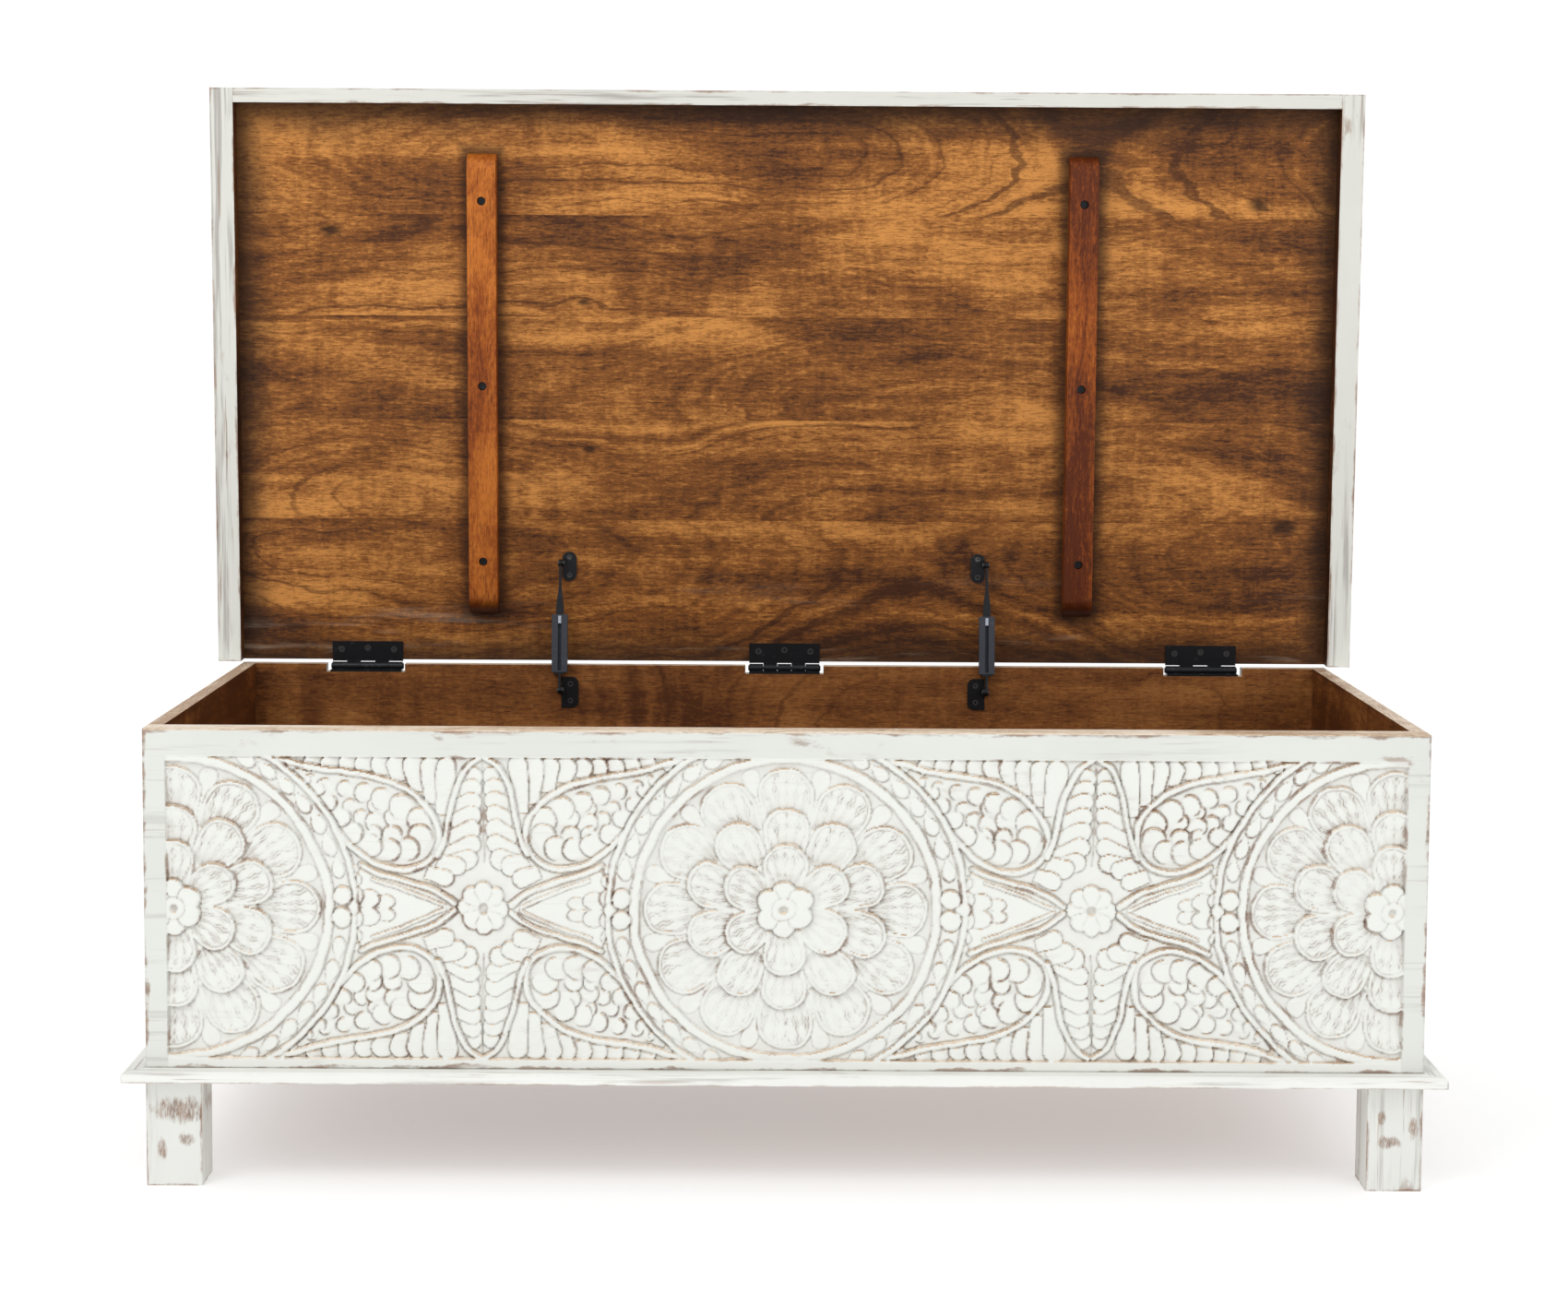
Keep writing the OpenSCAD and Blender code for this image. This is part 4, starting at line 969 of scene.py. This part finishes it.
def studio_floor():
    """A pale sheet that curves up behind the chest."""
    profile = [(FLOOR_NEAR, 0.0), (FLOOR_FAR, 0.0)]
    for turn in np.linspace(0.15, math.pi / 2, 12):
        rise = FLOOR_CURVE - FLOOR_CURVE * math.cos(turn)
        profile.append((FLOOR_FAR + FLOOR_CURVE * math.sin(turn), rise))
    profile.append((FLOOR_FAR + FLOOR_CURVE, FLOOR_TOP))
    shape = bmesh.new()
    rows = [[shape.verts.new((x, y, z)) for x in (-FLOOR_HALF_WIDTH, FLOOR_HALF_WIDTH)] for y, z in profile]
    for (a, b), (d, c) in zip(rows, rows[1:]):
        shape.faces.new((a, b, c, d))
    mesh = bpy.data.meshes.new("studio_floor")
    shape.to_mesh(mesh)
    shape.free()
    mesh.shade_smooth()
    paper = Shader("studio_paper")
    mesh.materials.append(paper.finish(Base_Color=(0.70, 0.70, 0.70, 1), Roughness=0.9,
                                       Emission_Color=(1, 1, 1, 1), Emission_Strength=0.40))
    floor = bpy.data.objects.new("studio_floor", mesh)
    bpy.context.scene.collection.objects.link(floor)


def soft_world():
    world = bpy.data.worlds.new("studio")
    world.use_nodes = True
    background = world.node_tree.nodes["Background"]
    background.inputs["Color"].default_value = (1, 1, 1, 1)
    background.inputs["Strength"].default_value = 0.82
    bpy.context.scene.world = world


def softbox(name, at, look, size, power):
    data = bpy.data.lights.new(name, "AREA")
    data.shape = "RECTANGLE"
    data.size, data.size_y = size
    data.energy = power
    lamp = bpy.data.objects.new(name, data)
    lamp.location = at
    lamp.rotation_euler = (Vector(look) - Vector(at)).to_track_quat("-Z", "Y").to_euler()
    bpy.context.scene.collection.objects.link(lamp)


def front_camera(at, yaw, pitch, roll, lens):
    """A camera that looks along y, then turned by the three angles, in radians."""
    camera = bpy.data.objects.new("camera", bpy.data.cameras.new("camera"))
    aim = Matrix.Rotation(yaw, 4, "Z") @ Matrix.Rotation(pitch, 4, "X") @ Matrix.Rotation(roll, 4, "Y")
    camera.matrix_world = Matrix.Translation(at) @ aim @ Matrix.Rotation(math.pi / 2, 4, "X")
    camera.data.sensor_width = 36.0
    camera.data.lens = lens
    bpy.context.scene.collection.objects.link(camera)
    bpy.context.scene.camera = camera


build_chest()
build_lid()
build_ironmongery()
studio_floor()
soft_world()
softbox("key_softbox", (-1.8, -2.6, 3.2), (0, 0, 0.4), (1.8, 1.4), 36)
softbox("fill_softbox", (2.6, -3.4, 1.8), (0, 0, 0.4), (2.4, 2.0), 18)
front_camera((-0.0183, -3.2606, 0.7803), -0.005, -0.097, -0.006, 77.0)
bpy.context.scene.view_settings.view_transform = "Standard"
